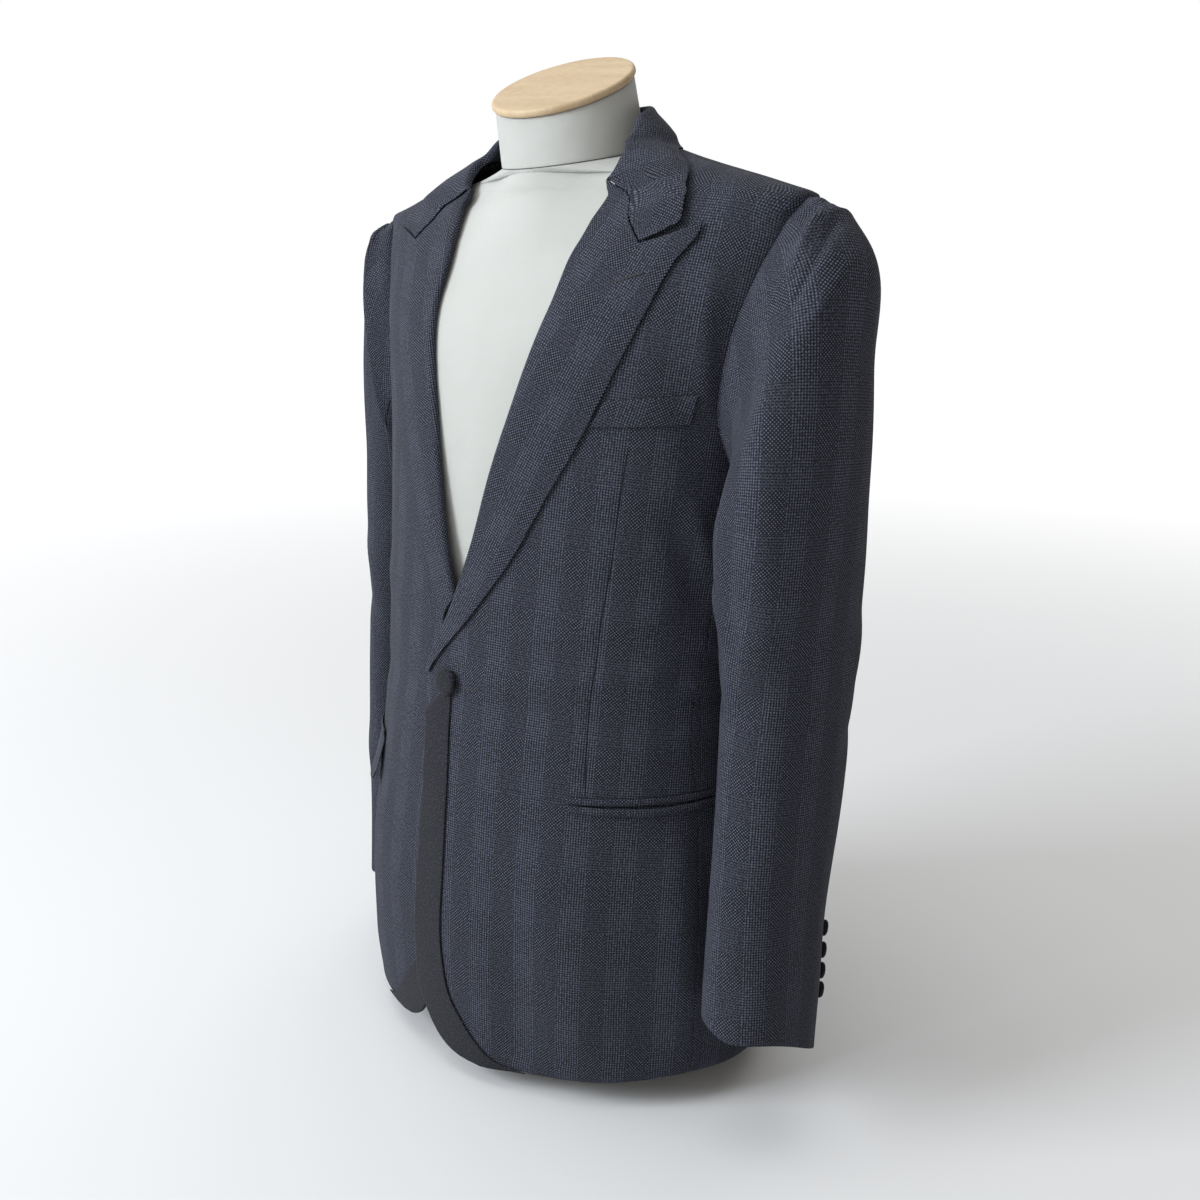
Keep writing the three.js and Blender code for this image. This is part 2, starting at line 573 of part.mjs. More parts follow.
// ---------------------------------------------------------------- sleeves
// The armhole, as places on the body surface from the shoulder down the front and back up.
function armholePlaces() {
  const frontTurn = column(LEFT_FRONT, "sideTurn");
  const frontZ = column(LEFT_FRONT, "sideZ");
  const backTurn = column(BACK, "seamTurn");
  const backZ = column(BACK, "seamZ");
  const under = sideMap();
  const rows = steps(24).map((share) => mix(SHOULDER_ROW, ARMHOLE_ROW, share));
  const down = rows.map((row) => ({ turn: frontTurn(row), z: frontZ(row) }));
  const across = steps(8).slice(1, -1).map((share) => under(share, ARMHOLE_ROW));
  const up = [...rows].reverse().map((row) => ({ turn: backTurn(row), z: backZ(row) }));
  return [...down, ...across, ...up];
}

// A function of the share round the armhole, by length: 0 is the shoulder, 0.5 under the arm.
function armholeLoop(side) {
  const places = armholePlaces();
  const centre = { turn: 93, z: 590 };
  const points = places.map(({ turn, z }) => bodyPoint(
    side * mix(centre.turn, turn, ARMHOLE_CLEAR),
    mix(centre.z, z, ARMHOLE_CLEAR),
    0,
  ));
  const lengths = [0];
  for (const i of range(points.length - 1)) {
    lengths.push(lengths[i] + points[i].distanceTo(points[i + 1]));
  }
  const total = lengths[lengths.length - 1];
  return (share) => {
    const length = (((share % 1) + 1) % 1) * total;
    const i = Math.max(lengths.findIndex((sum) => sum > length) - 1, 0);
    return points[i].clone().lerp(points[i + 1], (length - lengths[i]) / (lengths[i + 1] - lengths[i]));
  };
}

// A sleeve's surface from the armhole (place 0) through its rings to the cuff.
function sleeveSurface(table, side) {
  const loop = armholeLoop(side);
  const names = ["x", "y", "z", "across", "deep", "tilt", "rake"];
  const columns = names.map((name) => column(table, name));
  const ring = (share, place) => {
    const [x, y, z, across, deep, tilt, rake] = columns.map((value) => value(place - 1));
    const angle = -2 * Math.PI * share;
    const outward = Math.abs(Math.cos(angle)) ** SLEEVE_SQUARE;
    const back = Math.abs(Math.sin(angle)) ** SLEEVE_SQUARE;
    const size = (outward + back) ** (1 / SLEEVE_SQUARE);
    const e = (across * Math.cos(angle)) / size;
    const f = (deep * Math.sin(angle)) / size;
    const near = Math.exp(-(((share - CUFF_DIP_SHARE) / 0.12) ** 2));
    const dip = CUFF_DIP * near * ease((place - 8) / 2);
    return new THREE.Vector3(
      side * (x + e * Math.cos(tilt * RADIANS)),
      y + f,
      z + e * Math.sin(tilt * RADIANS) - rake * f - dip + HEM_LIFT,
    );
  };
  const last = table.length;
  return (share, place) => {
    const underArm = ((1 - Math.cos(2 * Math.PI * share)) / 2) ** 2;
    const free = clamp(place / mix(1, UNDER_ARM_REACH, underArm));
    const leave = 1 - (1 - free) ** mix(1, 1.5, underArm);
    return loop(share).lerp(ring(share, Math.min(Math.max(place, 1), last)), leave);
  };
}

// A point `out` from a sleeve's surface, along its normal.
function sleevePoint(surface, side, share, place, out) {
  const last = LEFT_SLEEVE.length;
  const round = surface(share + 0.01, place).sub(surface(share - 0.01, place));
  const low = surface(share, Math.max(place - 0.05, 0));
  const down = surface(share, Math.min(place + 0.05, last)).sub(low);
  const normal = round.cross(down).multiplyScalar(side).normalize();
  return surface(share, place).addScaledVector(normal, out);
}

const SLEEVE_ROWS = [0, 0.5, 1, 1.4, 1.8, 2.2, 2.6, 3, 3.5, 4, 5, 6, 7, 8, 8.5, 9, 10];
// Across the upper sleeve: -1 is the hind seam, 0 the line down from the shoulder, 1 the front
// seam, closer together at the top of the armhole's arch.
const UPPER_PLACES = [-1, -0.75, -0.5, -0.3, -0.15, 0, 0.12, 0.25, 0.45, 0.7, 1];
function sleeve(side, word, table) {
  const surface = sleeveSurface(table, side);
  const last = table.length;
  const hind = (place) => mix(HIND_SEAM_TOP, HIND_SEAM_CUFF, ease(place / last));
  const gap = 0.0008;
  const upper = (depth) => (t, place) => {
    const share = t < 0
      ? mix(0, hind(place) - 1 + gap, -t)
      : mix(0, FRONT_SEAM - gap, t);
    return sleevePoint(surface, side, share, place, -depth);
  };
  const under = (depth) => (t, place) => {
    const share = mix(FRONT_SEAM + gap, hind(place) - gap, t);
    return sleevePoint(surface, side, share, place, -depth);
  };
  piece(`sleeve_upper_${word}`, wall(upper(0), upper(WALL), UPPER_PLACES, SLEEVE_ROWS), WORSTED);
  piece(`sleeve_under_${word}`, wall(under(0), under(WALL), steps(5), SLEEVE_ROWS), WORSTED);
  return surface;
}
const leftSleeve = sleeve(1, "left", LEFT_SLEEVE);
const rightSleeve = sleeve(-1, "right", RIGHT_SLEEVE);

// ---------------------------------------------------------------- pockets
// A plate laid on the body inside four corners: lower then upper, each from the front edge
// of the pocket to the back one. sag lowers the middle of its upper line, away lifts its
// lower edge off the cloth and gape lifts its upper one.
function plate(name, side, corners, finish, { sag = 0, gape = 0, away = 0, columns = 6 } = {}) {
  const [lowFront, lowBack, topFront, topBack] = corners;
  const face = (depth) => (share, rise) => {
    const turn = mix(mix(lowFront[0], lowBack[0], share), mix(topFront[0], topBack[0], share), rise);
    const low = mix(lowFront[1], lowBack[1], share) + 5 * (2 * share - 1) ** 8 * clamp(away);
    const top = mix(topFront[1], topBack[1], share);
    const bow = Math.sin(Math.PI * share);
    const z = mix(low, top, rise) - sag * bow;
    const out = LAYER + THIN_WALL + gape * bow * rise + away * (1 - rise) ** 1.4;
    return bodyPoint(side * turn, z, out - depth);
  };
  const rises = away > 0 ? steps(4) : steps(1);
  piece(name, wall(face(0), face(THIN_WALL), steps(columns), rises), finish);
}
plate("breast_welt", 1, [[35.3, 537], [62.2, 541], [37.7, 557], [62.5, 563]], WORSTED);

// The lips of a hip pocket run level across the side seam.
const POCKET_FRONT = 36.4;
const POCKET_BACK = 82.6;
const pocketStrip = (low, high) => [
  [POCKET_FRONT, low], [POCKET_BACK, low + 1], [POCKET_FRONT, high], [POCKET_BACK, high + 1],
];
plate("pocket_lip_upper_left", 1, pocketStrip(248, 253), WORSTED, { columns: 8 });
plate("pocket_lip_lower_left", 1, pocketStrip(241, 246), WORSTED, { sag: 2.6, gape: 1.8, columns: 8 });
plate("pocket_lip_upper_right", -1, pocketStrip(248, 253), WORSTED, { columns: 8 });
plate("pocket_flap_right", -1, pocketStrip(203, 247), WORSTED, { away: 6.5, columns: 8 });

// ---------------------------------------------------------------- buttons
// A domed, cloth-covered disc: radius and height of its rings as shares of its own.
const BUTTON_RINGS = [[0.9, 0], [1, 0.25], [1, 0.55], [0.86, 0.85], [0.5, 1]];
function button(name, seat, outward, diameter, thick, clearance) {
  const along = new THREE.Vector3(0, 0, 1).cross(outward).normalize();
  const up = outward.clone().cross(along);
  const rings = BUTTON_RINGS.map(([share, rise]) => range(BUTTON_FACETS).map((i) => {
    const angle = (2 * Math.PI * i) / BUTTON_FACETS;
    return seat.clone()
      .addScaledVector(along, ((share * diameter) / 2) * Math.cos(angle))
      .addScaledVector(up, ((share * diameter) / 2) * Math.sin(angle))
      .addScaledVector(outward, clearance + rise * thick);
  }));
  piece(name, loft(rings), PLAIN_CLOTH);
}
const FRONT_BUTTON = { turn: 0, z: 327, thick: 5 };
const buttonSeat = bodyPoint(FRONT_BUTTON.turn, FRONT_BUTTON.z, lapOut(FRONT_BUTTON.turn, FRONT_BUTTON.z));
const buttonFacing = bodyNormal(FRONT_BUTTON.turn, FRONT_BUTTON.z);
const overBand = LAYER + THIN_WALL + LAYER; // the button's lower edge lies on the band's upper end
button("front_button", buttonSeat, buttonFacing, BUTTON_DIAMETER, FRONT_BUTTON.thick, overBand);

// Four buttons stand in a row up the back of each cuff, just in front of the hind seam.
const CUFF_BUTTON_SHARE = 0.845;
const CUFF_BUTTON_THICK = 3.6;
function cuffButtons(word, surface, side, lowest, pitch) {
  for (const i of range(CUFF_BUTTONS)) {
    const place = lowest - i * pitch;
    const seat = surface(CUFF_BUTTON_SHARE, place);
    const above = sleevePoint(surface, side, CUFF_BUTTON_SHARE, place, 1);
    const outward = above.sub(seat);
    const name = `cuff_button_${word}_${i + 1}`;
    button(name, seat, outward, CUFF_BUTTON_DIAMETER, CUFF_BUTTON_THICK, 0.5);
  }
}
cuffButtons("left", leftSleeve, 1, 9.06, 0.27);
cuffButtons("right", rightSleeve, -1, 9.2, 0.22);

// ---------------------------------------------------------------- the dress form
// The form fills the jacket's shoulders and stands further from the cloth lower down.
const FORM_CLEARANCE = [
  { z: 46, gap: 22 },
  { z: 100, gap: 20 },
  { z: 330, gap: 14 },
  { z: 400, gap: 10 },
  { z: 500, gap: 3.5 },
  { z: 560, gap: 1.5 },
  { z: 610, gap: 1.9 },
  { z: 650, gap: 3 },
  { z: 680, gap: 3.8 },
  { z: 697, gap: 4.5 },
  { z: 720, gap: 5 },
  { z: 750, gap: 6 },
];
const formGap = column(FORM_CLEARANCE, "gap", "z");
const FORM_FACETS = 40;
const formTurns = range(FORM_FACETS).map((i) => (360 * i) / FORM_FACETS);
// The neck leans forward from the seam round its foot and is cut off at a steeper slant.
const NECK_FOOT = new THREE.Vector3(0, -8, 734 + HEM_LIFT);
const NECK_TOP = new THREE.Vector3(-6.6, -13.3, 784.5 + HEM_LIFT);
const FOOT_FACING = new THREE.Vector3(-0.03, -0.2, 1).normalize();
const TOP_FACING = new THREE.Vector3(0.054, -0.482, 1).normalize();

const SHOULDER_SHARE_FILLED = 0.955; // the form is narrower than the padded shoulders
const THROAT_FILL = 19; // the form is this much fuller below the throat, where no cloth lies

// A circle round the neck, at a share of its length and moved up by `lift` square to itself.
function neckRing(radius, share, lift = 0) {
  const facing = FOOT_FACING.clone().lerp(TOP_FACING, share).normalize();
  const along = new THREE.Vector3(1, 0, 0).cross(facing).normalize();
  const across = facing.clone().cross(along).multiplyScalar(-1);
  const centre = NECK_FOOT.clone().lerp(NECK_TOP, share).addScaledVector(facing, lift);
  return formTurns.map((turn) => centre.clone()
    .addScaledVector(across, -radius * Math.sin(turn * RADIANS))
    .addScaledVector(along, radius * Math.cos(turn * RADIANS)));
}

function formTorso() {
  const seamZ = (turn) => 732 - 11 * Math.cos(turn * RADIANS);
  const levels = [TORSO_BOTTOM, 80, 130, 190, 250, 310, 370, 430, 490, 550, 600, 640, 668];
  const chest = (turn, z) => {
    const aside = (turn > 180 ? turn - 360 : turn) / 14;
    return THROAT_FILL * Math.exp(-aside * aside) * ease((z - 640) / 70);
  };
  const ringAt = (height) => formTurns.map((turn) => {
    const z = height(turn);
    const point = bodyPoint(turn, z, chest(turn, z) - WALL - formGap(z));
    return point.setX(point.x * mix(1, SHOULDER_SHARE_FILLED, ease((z - 650) / 40)));
  });
  const rings = levels.map((level) => ringAt(() => level));
  rings[0].forEach((p) => p.setZ(TORSO_BOTTOM + HEM_LIFT));
  for (const share of [0.2, 0.4, 0.5, 0.6, 0.7, 0.8, 0.9, 1]) {
    rings.push(ringAt((turn) => mix(684, seamZ(turn) - 2, share)));
  }
  const last = rings[rings.length - 1];
  const seam = neckRing(NECK_RADIUS, 0, -0.3);
  rings.push(last.map((p, i) => p.clone().lerp(seam[i], 0.5).add(new THREE.Vector3(0, 0, -1.5))));
  rings.push(seam);
  piece("form_torso", loft(rings), LINEN);
}
formTorso();

piece("form_neck", loft([
  neckRing(NECK_RADIUS, 0),
  neckRing(NECK_RADIUS - 0.4, 0.3),
  neckRing(NECK_RADIUS - 1, 0.7),
  neckRing(NECK_RADIUS - 1.6, 1),
]), LINEN);

const CAP_LIFT = 0.3;
piece("neck_cap", loft([
  neckRing(CAP_RADIUS - 1.5, 1, CAP_LIFT),
  neckRing(CAP_RADIUS, 1, CAP_LIFT + 1.5),
  neckRing(CAP_RADIUS, 1, CAP_LIFT + CAP_HEIGHT - 2),
  neckRing(CAP_RADIUS - 0.7, 1, CAP_LIFT + CAP_HEIGHT - 0.7),
  neckRing(CAP_RADIUS - 2.4, 1, CAP_LIFT + CAP_HEIGHT),
]), PALE_WOOD);

// ---------------------------------------------------------------- stand
// A turned solid: its rings are radius and height.
function turned(name, rings) {
  const circle = ([radius, z]) => formTurns.map((turn) => new THREE.Vector3(
    radius * Math.sin(turn * RADIANS),
    -radius * Math.cos(turn * RADIANS),
    z,
  ));
  piece(name, loft(rings.map(circle)), BROWN_WOOD);
}
turned("pole", [
  [POLE_RADIUS, FOOT_HEIGHT + 0.3],
  [POLE_RADIUS, TORSO_BOTTOM + HEM_LIFT - 0.3],
]);
turned("foot", [
  [FOOT_RADIUS, 0],
  [FOOT_RADIUS, FOOT_HEIGHT - 2],
  [FOOT_RADIUS - 2, FOOT_HEIGHT],
]);

export default model;
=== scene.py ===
import math

import bpy
import numpy as np
from mathutils import Matrix, Vector


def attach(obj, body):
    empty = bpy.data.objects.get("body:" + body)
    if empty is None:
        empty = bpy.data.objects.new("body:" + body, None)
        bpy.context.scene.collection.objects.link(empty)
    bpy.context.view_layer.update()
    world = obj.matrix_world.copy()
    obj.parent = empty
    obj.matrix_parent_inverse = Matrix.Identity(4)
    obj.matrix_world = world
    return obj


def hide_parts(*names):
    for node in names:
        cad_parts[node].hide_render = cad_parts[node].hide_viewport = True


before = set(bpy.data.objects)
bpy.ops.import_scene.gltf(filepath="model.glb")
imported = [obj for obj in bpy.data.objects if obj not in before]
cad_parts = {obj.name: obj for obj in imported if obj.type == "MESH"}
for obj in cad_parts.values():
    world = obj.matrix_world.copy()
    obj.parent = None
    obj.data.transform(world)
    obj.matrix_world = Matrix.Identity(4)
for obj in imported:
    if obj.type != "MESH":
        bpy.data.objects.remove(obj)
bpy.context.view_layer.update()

MM = 0.001
CUT_SCALE = 0.01  # a flat cut's millimetres in its UV map
HEM_LIFT = 14
WALL = 2
THIN_WALL = 1.2
LAYER = 0.75
LAP = WALL + LAYER
SHOULDER_LEAN = 0.038
FRONT_SQUARE, BACK_SQUARE, NECK_SQUARE = 2.05, 2.3, 1.8

# ---------------------------------------------------------------- tables of the cut
# Level sections: height, half width, depth to the front, depth to the back.
BODY = np.array([
    (-10, 195, 145, 122), (60, 198, 151, 125), (150, 196, 155, 122), (250, 182, 149, 108),
    (330, 178, 141, 97), (400, 178, 136, 95), (470, 180, 131, 101), (530, 186, 124, 109),
    (600, 200, 111, 112), (650, 212, 88, 101), (680, 218, 70, 86), (697, 221, 58, 74),
    (704, 200, 55, 71), (711, 177, 54, 70), (718, 152, 53, 70), (726, 124, 52, 69),
    (731, 109, 52, 66), (737, 91, 52, 61), (748, 79, 54, 58), (761, 65.5, 56, 51),
    (768, 61, 57, 50), (776, 59.5, 57, 49), (800, 58, 57, 48)], float).T

# A front, row by row from the hem to the shoulder: turn and height of its inner edge, turn and
# height of its outer edge, and how much of the row the band and the lapel take.
LEFT_FRONT = np.array([
    (12, 3, 70, 15, .2, 0), (4, 6, 70, 28, .19, 0), (-1.5, 16, 70, 48, .185, 0),
    (-5.6, 35, 70, 74, .163, 0), (-8.4, 60, 70.5, 105, .14, 0), (-8.3, 110, 71.3, 150, .124, 0),
    (-7.4, 170, 72.2, 195, .122, 0), (-7, 230, 73.5, 245, .118, 0), (-7.6, 285, 71, 300, .116, 0),
    (-8.7, 329, 73, 338, .12, .012), (0, 387, 76.5, 387, 0, .1), (5.2, 436, 79.5, 436, 0, .18),
    (9.6, 494, 82, 490, 0, .255), (14.8, 560, 70.5, 545, 0, .388), (18.2, 616, 68.2, 600, 0, .475),
    (19, 664, 70.5, 650, 0, .525), (25, 708, 76, 680, 0, .53), (52, 727, 83, 692, 0, 0),
    (90, 737, 90, 697, 0, 0)], float).T
RIGHT_EDGE = np.array([
    (20, 8), (15.5, 11), (11.5, 20), (7.5, 38), (2, 64), (-1, 110), (-3.5, 170), (-4.5, 230),
    (-5.5, 285), (-7, 329)], float).T
RIGHT_FRONT = LEFT_FRONT.copy()
RIGHT_FRONT[:2, :10] = RIGHT_EDGE

# A back, row by row: turn and height of the seam to the side panel, height at the middle seam.
BACK = np.array([
    (119, 12, 10), (119, 27, 24), (119, 47, 44), (119, 73, 70), (119, 104, 100),
    (119.5, 150, 146), (120, 195, 192), (121, 245, 243), (121.5, 300, 298), (121.5, 338, 336),
    (120.5, 387, 388), (118.5, 436, 438), (115, 492, 496), (109, 545, 556), (106, 600, 612),
    (103, 645, 664), (98, 680, 706), (94, 692, 728), (90, 697, 744)], float).T
ARMPIT_DIP = 13
BREAK_ROW, ARMHOLE_ROW, GORGE_ROW, SHOULDER_ROW = 9, 12, 16, 18
BAND_TOP = 8.6

# Sleeve rings below the armhole: centre, half width, half depth, tilt and rake.
LEFT_SLEEVE = np.array([
    (220, -3, 587, 112, 52, 75, 0), (231, -9, 567, 102, 59, 65, 0),
    (233, -16, 525, 78, 65, 55, 0), (233, -16, 472, 53, 69, 32, 0),
    (232, -11, 412, 42, 69, 6, 0), (232, -9, 334, 39, 63, 0, .05),
    (233, -14, 254, 37, 61, 0, .12), (236, -27, 175, 35, 56, 0, .25),
    (240, -35, 118, 35, 56, 0, .42), (243, -41, 74, 35, 55, 0, .56)], float).T
RIGHT_SLEEVE = np.array([
    (211, 0, 580, 104, 52, 78, 0), (210, 7, 556, 95, 58, 75, 0),
    (213.5, 14, 516, 71, 60, 64.5, 0), (216.5, 19, 466, 43, 60, 41, 0),
    (217, 19, 412, 32, 61, 6, 0), (216, 15, 334, 31, 59, 0, .05),
    (221, 14, 254, 30, 57, 0, .1), (229, 16, 172, 29, 54, 0, .18),
    (233, 17, 108, 28, 52, 0, .26), (234, 15, 47, 28, 51, 0, .3)], float).T
SLEEVE_SQUARE = 2.3
ARM_TURN, ARM_HEIGHT, ARMHOLE_CLEAR = 93, 590, 0.984  # the armhole shrinks towards this place
UNDER_ARM_REACH = 2.4
CUFF_DIP, CUFF_DIP_SHARE = 15, 0.21
FRONT_SEAM, HIND_SEAM_TOP, HIND_SEAM_CUFF = 0.345, 0.715, 0.815

# The collar, from one tip to the middle of the back: turn and height of the fold, of the seam
# to the neckline and of the free edge, and how much the fall bellies.
COLLAR = np.array([
    (25.5, 708.5, 26.5, 706.5, 42.5, 681, 0), (38.5, 722.5, 39.5, 718.5, 42.5, 699, .5),
    (60, 739, 62, 732, 60, 717, 1), (84, 758, 88, 738, 86, 732, 1.5),
    (115, 767, 120, 742, 121, 736, 2), (148, 771, 150, 744, 150, 735, 2),
    (180, 772, 180, 745, 180, 734, 2)], float).T
COLLAR_END = 6
GORGE, NOTCH, PEAK, COLLAR_TIP = (28.7, 684), (34.2, 667), (48, 682), (42.5, 680)
END_SHARES = (0, .25, .5, 1)  # where the fold, the gorge's bend, the notch and the tip come


# ---------------------------------------------------------------- number helpers
def mix(low, high, share):
    """A straight blend from low to high."""
    return low + (high - low) * share


def ease(value):
    """0 below 0, 1 above 1, and between them 3v^2 - 2v^3."""
    v = np.clip(value, 0, 1)
    return v * v * (3 - 2 * v)


def through(knots, values, place):
    """A cubic between two knots; its slope at each is that of the line between its neighbours.
    Values may be a table, read line by line."""
    knots, values, place = (np.asarray(a, float) for a in (knots, values, place))
    more = (1,) * (values.ndim - 1)
    gap = knots.reshape(-1, *more)
    slope = np.empty_like(values)
    slope[1:-1] = (values[2:] - values[:-2]) / (gap[2:] - gap[:-2])
    slope[[0, -1]] = (np.diff(values, axis=0) / np.diff(gap, axis=0))[[0, -1]]
    low = np.searchsorted(knots[1:-1], place, side="left")
    span = knots[low + 1] - knots[low]
    t = np.clip((place - knots[low]) / span, 0, 1)
    t, span = np.reshape(t, np.shape(t) + more), np.reshape(span, np.shape(span) + more)
    bend = span * t * (1 - t) * ((1 - t) * slope[low] - t * slope[low + 1])
    return mix(values[low], values[low + 1], t * t * (3 - 2 * t)) + bend


def row_value(column, row):
    """A table column read at a fractional row."""
    return through(np.arange(len(column)), column, row)


def bell(distance, width):
    """1 on the line and falling away on both sides, as exp(-(d / w)^2)."""
    return np.exp(-(distance / width) ** 2)


def unit(vectors):
    """The same vectors with length 1."""
    return vectors / np.maximum(np.linalg.norm(vectors, axis=-1, keepdims=True), 1e-9)


def stack(x, y, z):
    """Three arrays as points."""
    return np.stack(np.broadcast_arrays(x, y, z), axis=-1)


# ---------------------------------------------------------------- creases
# Soft folds pressed and worn into the body: turn and height of both ends, width and height of
# the ridge, a trough being negative.
BODY_CREASES = np.array([
    (14, 335, 62, 352, 11, 1.9), (16, 318, 58, 300, 12, -1.7), (22, 372, 60, 398, 13, 1.5),
    (74, 372, 96, 352, 6, 2.8), (76, 361, 98, 343, 5, -2.3), (70, 340, 92, 330, 6, 2.3),
    (72, 329, 90, 321, 5, -1.9), (66, 300, 88, 306, 7, 1.6), (60, 470, 74, 392, 12, -2.5),
    (68, 476, 80, 410, 9, 2.7), (52, 585, 66, 520, 13, -1.4), (56, 640, 66, 560, 10, 2.2),
    (30, 190, 36, 40, 24, 3.1), (52, 200, 55, 30, 26, -3.1), (66, 220, 69, 40, 16, 2.4),
    (2, 240, 6, 90, 22, 1.7), (20, 150, 22, 30, 18, -1.5), (-24, 372, -58, 396, 12, 1.7),
    (-16, 316, -60, 304, 12, -1.7), (-74, 366, -94, 350, 6, 2.3), (-72, 350, -92, 338, 5, -1.9),
    (-62, 470, -74, 396, 12, -2.4), (-54, 590, -66, 520, 12, -1.2), (-32, 190, -38, 40, 24, 2.7),
    (-56, 200, -60, 40, 24, -2.7), (-20, 160, -24, 40, 20, 1.7), (100, 470, 112, 380, 10, 3.1),
    (118, 540, 128, 440, 12, -1.9), (112, 360, 150, 340, 9, 2.7), (118, 344, 154, 326, 8, -2.5),
    (126, 402, 160, 384, 10, 2), (138, 620, 146, 520, 16, 2.4), (152, 600, 156, 500, 14, -1.4),
    (128, 180, 130, 40, 26, 3.2), (152, 190, 154, 30, 24, -3.2), (170, 200, 170, 20, 18, 2.7),
    (112, 610, 122, 560, 10, 2.7), (150, 680, 178, 672, 9, 1.9), (-100, 466, -112, 384, 10, 2.9),
    (-120, 546, -128, 446, 12, -1.8), (-110, 356, -150, 338, 9, 2.5), (-120, 340, -152, 322, 8, -2.4),
    (-128, 400, -160, 388, 10, 1.9), (-140, 616, -146, 520, 16, 2.2), (-154, 596, -158, 500, 14, -1.3),
    (-126, 180, -128, 40, 26, 3.2), (-150, 186, -152, 30, 24, -3.1), (-172, 210, -171, 20, 18, 2.4),
    (-112, 610, -122, 566, 10, 2.5), (-150, 676, -176, 684, 9, 1.7)])
DEGREE = 2.9  # millimetres of cloth in a degree of turn, near enough for a crease


def ridge(across, up, run, width, height):
    """A soft ridge along a line that starts at 0, 0 and has the given run across and up: height *
    exp(-(d / width)^2), d being the distance to the line. It fades in over its first and last
    parts, from a quarter of its length beyond each end."""
    length = np.hypot(*run)
    along = (across * run[0] + up * run[1]) / length ** 2
    aside = (across * run[1] - up * run[0]) / length
    return height * bell(aside, width) * ease((along + .25) / .4) * ease((1.25 - along) / .4)


def crease_field(turn, z):
    """Sum of the body's ridges and troughs."""
    total = np.zeros(np.broadcast(turn, z).shape)
    for t0, z0, t1, z1, width, height in BODY_CREASES:
        away = (turn - t0 + 180) % 360 - 180
        total = total + ridge(away * DEGREE, z - z0, ((t1 - t0) * DEGREE, z1 - z0), width, height)
    return total


MOUTH_DEPTH, MOUTH_HEIGHT = 3.0, 246.9


def pocket_mouth(turn, z):
    """A trough where the left hip pocket gapes between its lips."""
    aside = ease((turn - 37) / 4) * ease((82 - turn) / 4)
    return -MOUTH_DEPTH * aside * bell(z - MOUTH_HEIGHT - .02 * (turn - 60), 2.1)


# The front dart's stitched line from its lower to its upper end: height and turn.
DART = np.array([(255, 41.2), (320, 41.1), (357, 42.3), (403, 43.5), (440, 45), (522, 46)]).T
DART_DEGREE = 2.7  # millimetres of cloth in a degree of turn near the dart
# The fronts keep this number plus the distance to their dart, so that the 0 of every other
# piece is far from a stitched line.
DART_MARK = 1000.0


def dart_distance(turn, z, side):
    """How far a place is from the front dart's stitched line, in millimetres, with a sign."""
    line = through(DART[0], DART[1], z)
    past = np.maximum(np.maximum(z - DART[0, -1], DART[0, 0] - z), 0)
    aside = (turn * side - line) * DART_DEGREE
    return np.where(aside < 0, -1, 1) * np.hypot(aside, past)


def drape(turn, z):
    """How far the cloth stands off the smooth body: the creases, the darts' shallow hollow, a
    faint roll up and down the hem and the gape of the pocket."""
    hollow = -.45 * sum(bell(dart_distance(turn, z, s), 3.2) for s in (1, -1))
    hem = .8 * np.sin(np.radians(turn) * 9 + .6) * (1 - ease(z / 150))
    held = 1 - ease((z - 655) / 40)
    return crease_field(turn, z) * held + hollow + hem + pocket_mouth(turn, z)


# ---------------------------------------------------------------- the body surface
def body_surface(turn, z):
    """A level section is a rounded oval |sin|^p + |cos|^p = 1 as wide and deep as the table
    says, and the shoulders lean by a small slope."""
    across, ahead = np.sin(np.radians(turn)), np.cos(np.radians(turn))
    front = ahead > 0
    back_square = mix(BACK_SQUARE, NECK_SQUARE, ease((z - 715) / 35))
    square = np.where(front, FRONT_SQUARE, back_square)
    depth = np.where(front, through(BODY[0], BODY[2], z), through(BODY[0], BODY[3], z))
    size = (np.abs(across) ** square + np.abs(ahead) ** square) ** (1 / square)
    x = through(BODY[0], BODY[1], z) * across / size
    lean = SHOULDER_LEAN * x * ease((z - 668) / 36)
    return stack(x, -depth * ahead / size, z + lean + HEM_LIFT)


def body_normal(turn, z):
    """The direction out of the body: round it crossed with up it."""
    round_it = body_surface(turn + .5, z) - body_surface(turn - .5, z)
    up_it = body_surface(turn, z + 1) - body_surface(turn, z - 1)
    return unit(np.cross(round_it, up_it))


def smooth_body(turn, z, out):
    """A point `out` from the undraped body."""
    turn, z = np.broadcast_arrays(np.asarray(turn, float), np.asarray(z, float))
    return body_surface(turn, z) + body_normal(turn, z) * np.asarray(out)[..., None]


def on_body(turn, z, out):
    """A point `out` from the draped body."""
    turn, z = np.broadcast_arrays(np.asarray(turn, float), np.asarray(z, float))
    return smooth_body(turn, z, np.asarray(out) + drape(turn, z))


def lap_out(turn, z):
    """How far the left front stands out over the right one and, low down, over its band."""
    above = ease((z - 392) / 70)
    over_band = (THIN_WALL + LAYER) * (1 - ease((z - 95) / 80))
    return (LAP * (1 - above) + over_band) * (1 - ease((turn - 11) / 13))


def no_lap(turn, z):
    """The right front lies on the body itself."""
    return np.zeros(np.broadcast(turn, z).shape)


# ---------------------------------------------------------------- meshes
def border(rows, cols):
    """Row and column numbers round a grid's edge, once round."""
    row = np.r_[np.zeros(cols - 1, int), np.arange(rows - 1), np.full(cols - 1, rows - 1),
                np.arange(rows - 1, 0, -1)]
    col = np.r_[np.arange(cols - 1), np.full(rows - 1, cols - 1), np.arange(cols - 1, 0, -1),
                np.zeros(rows - 1, int)]
    return row, col


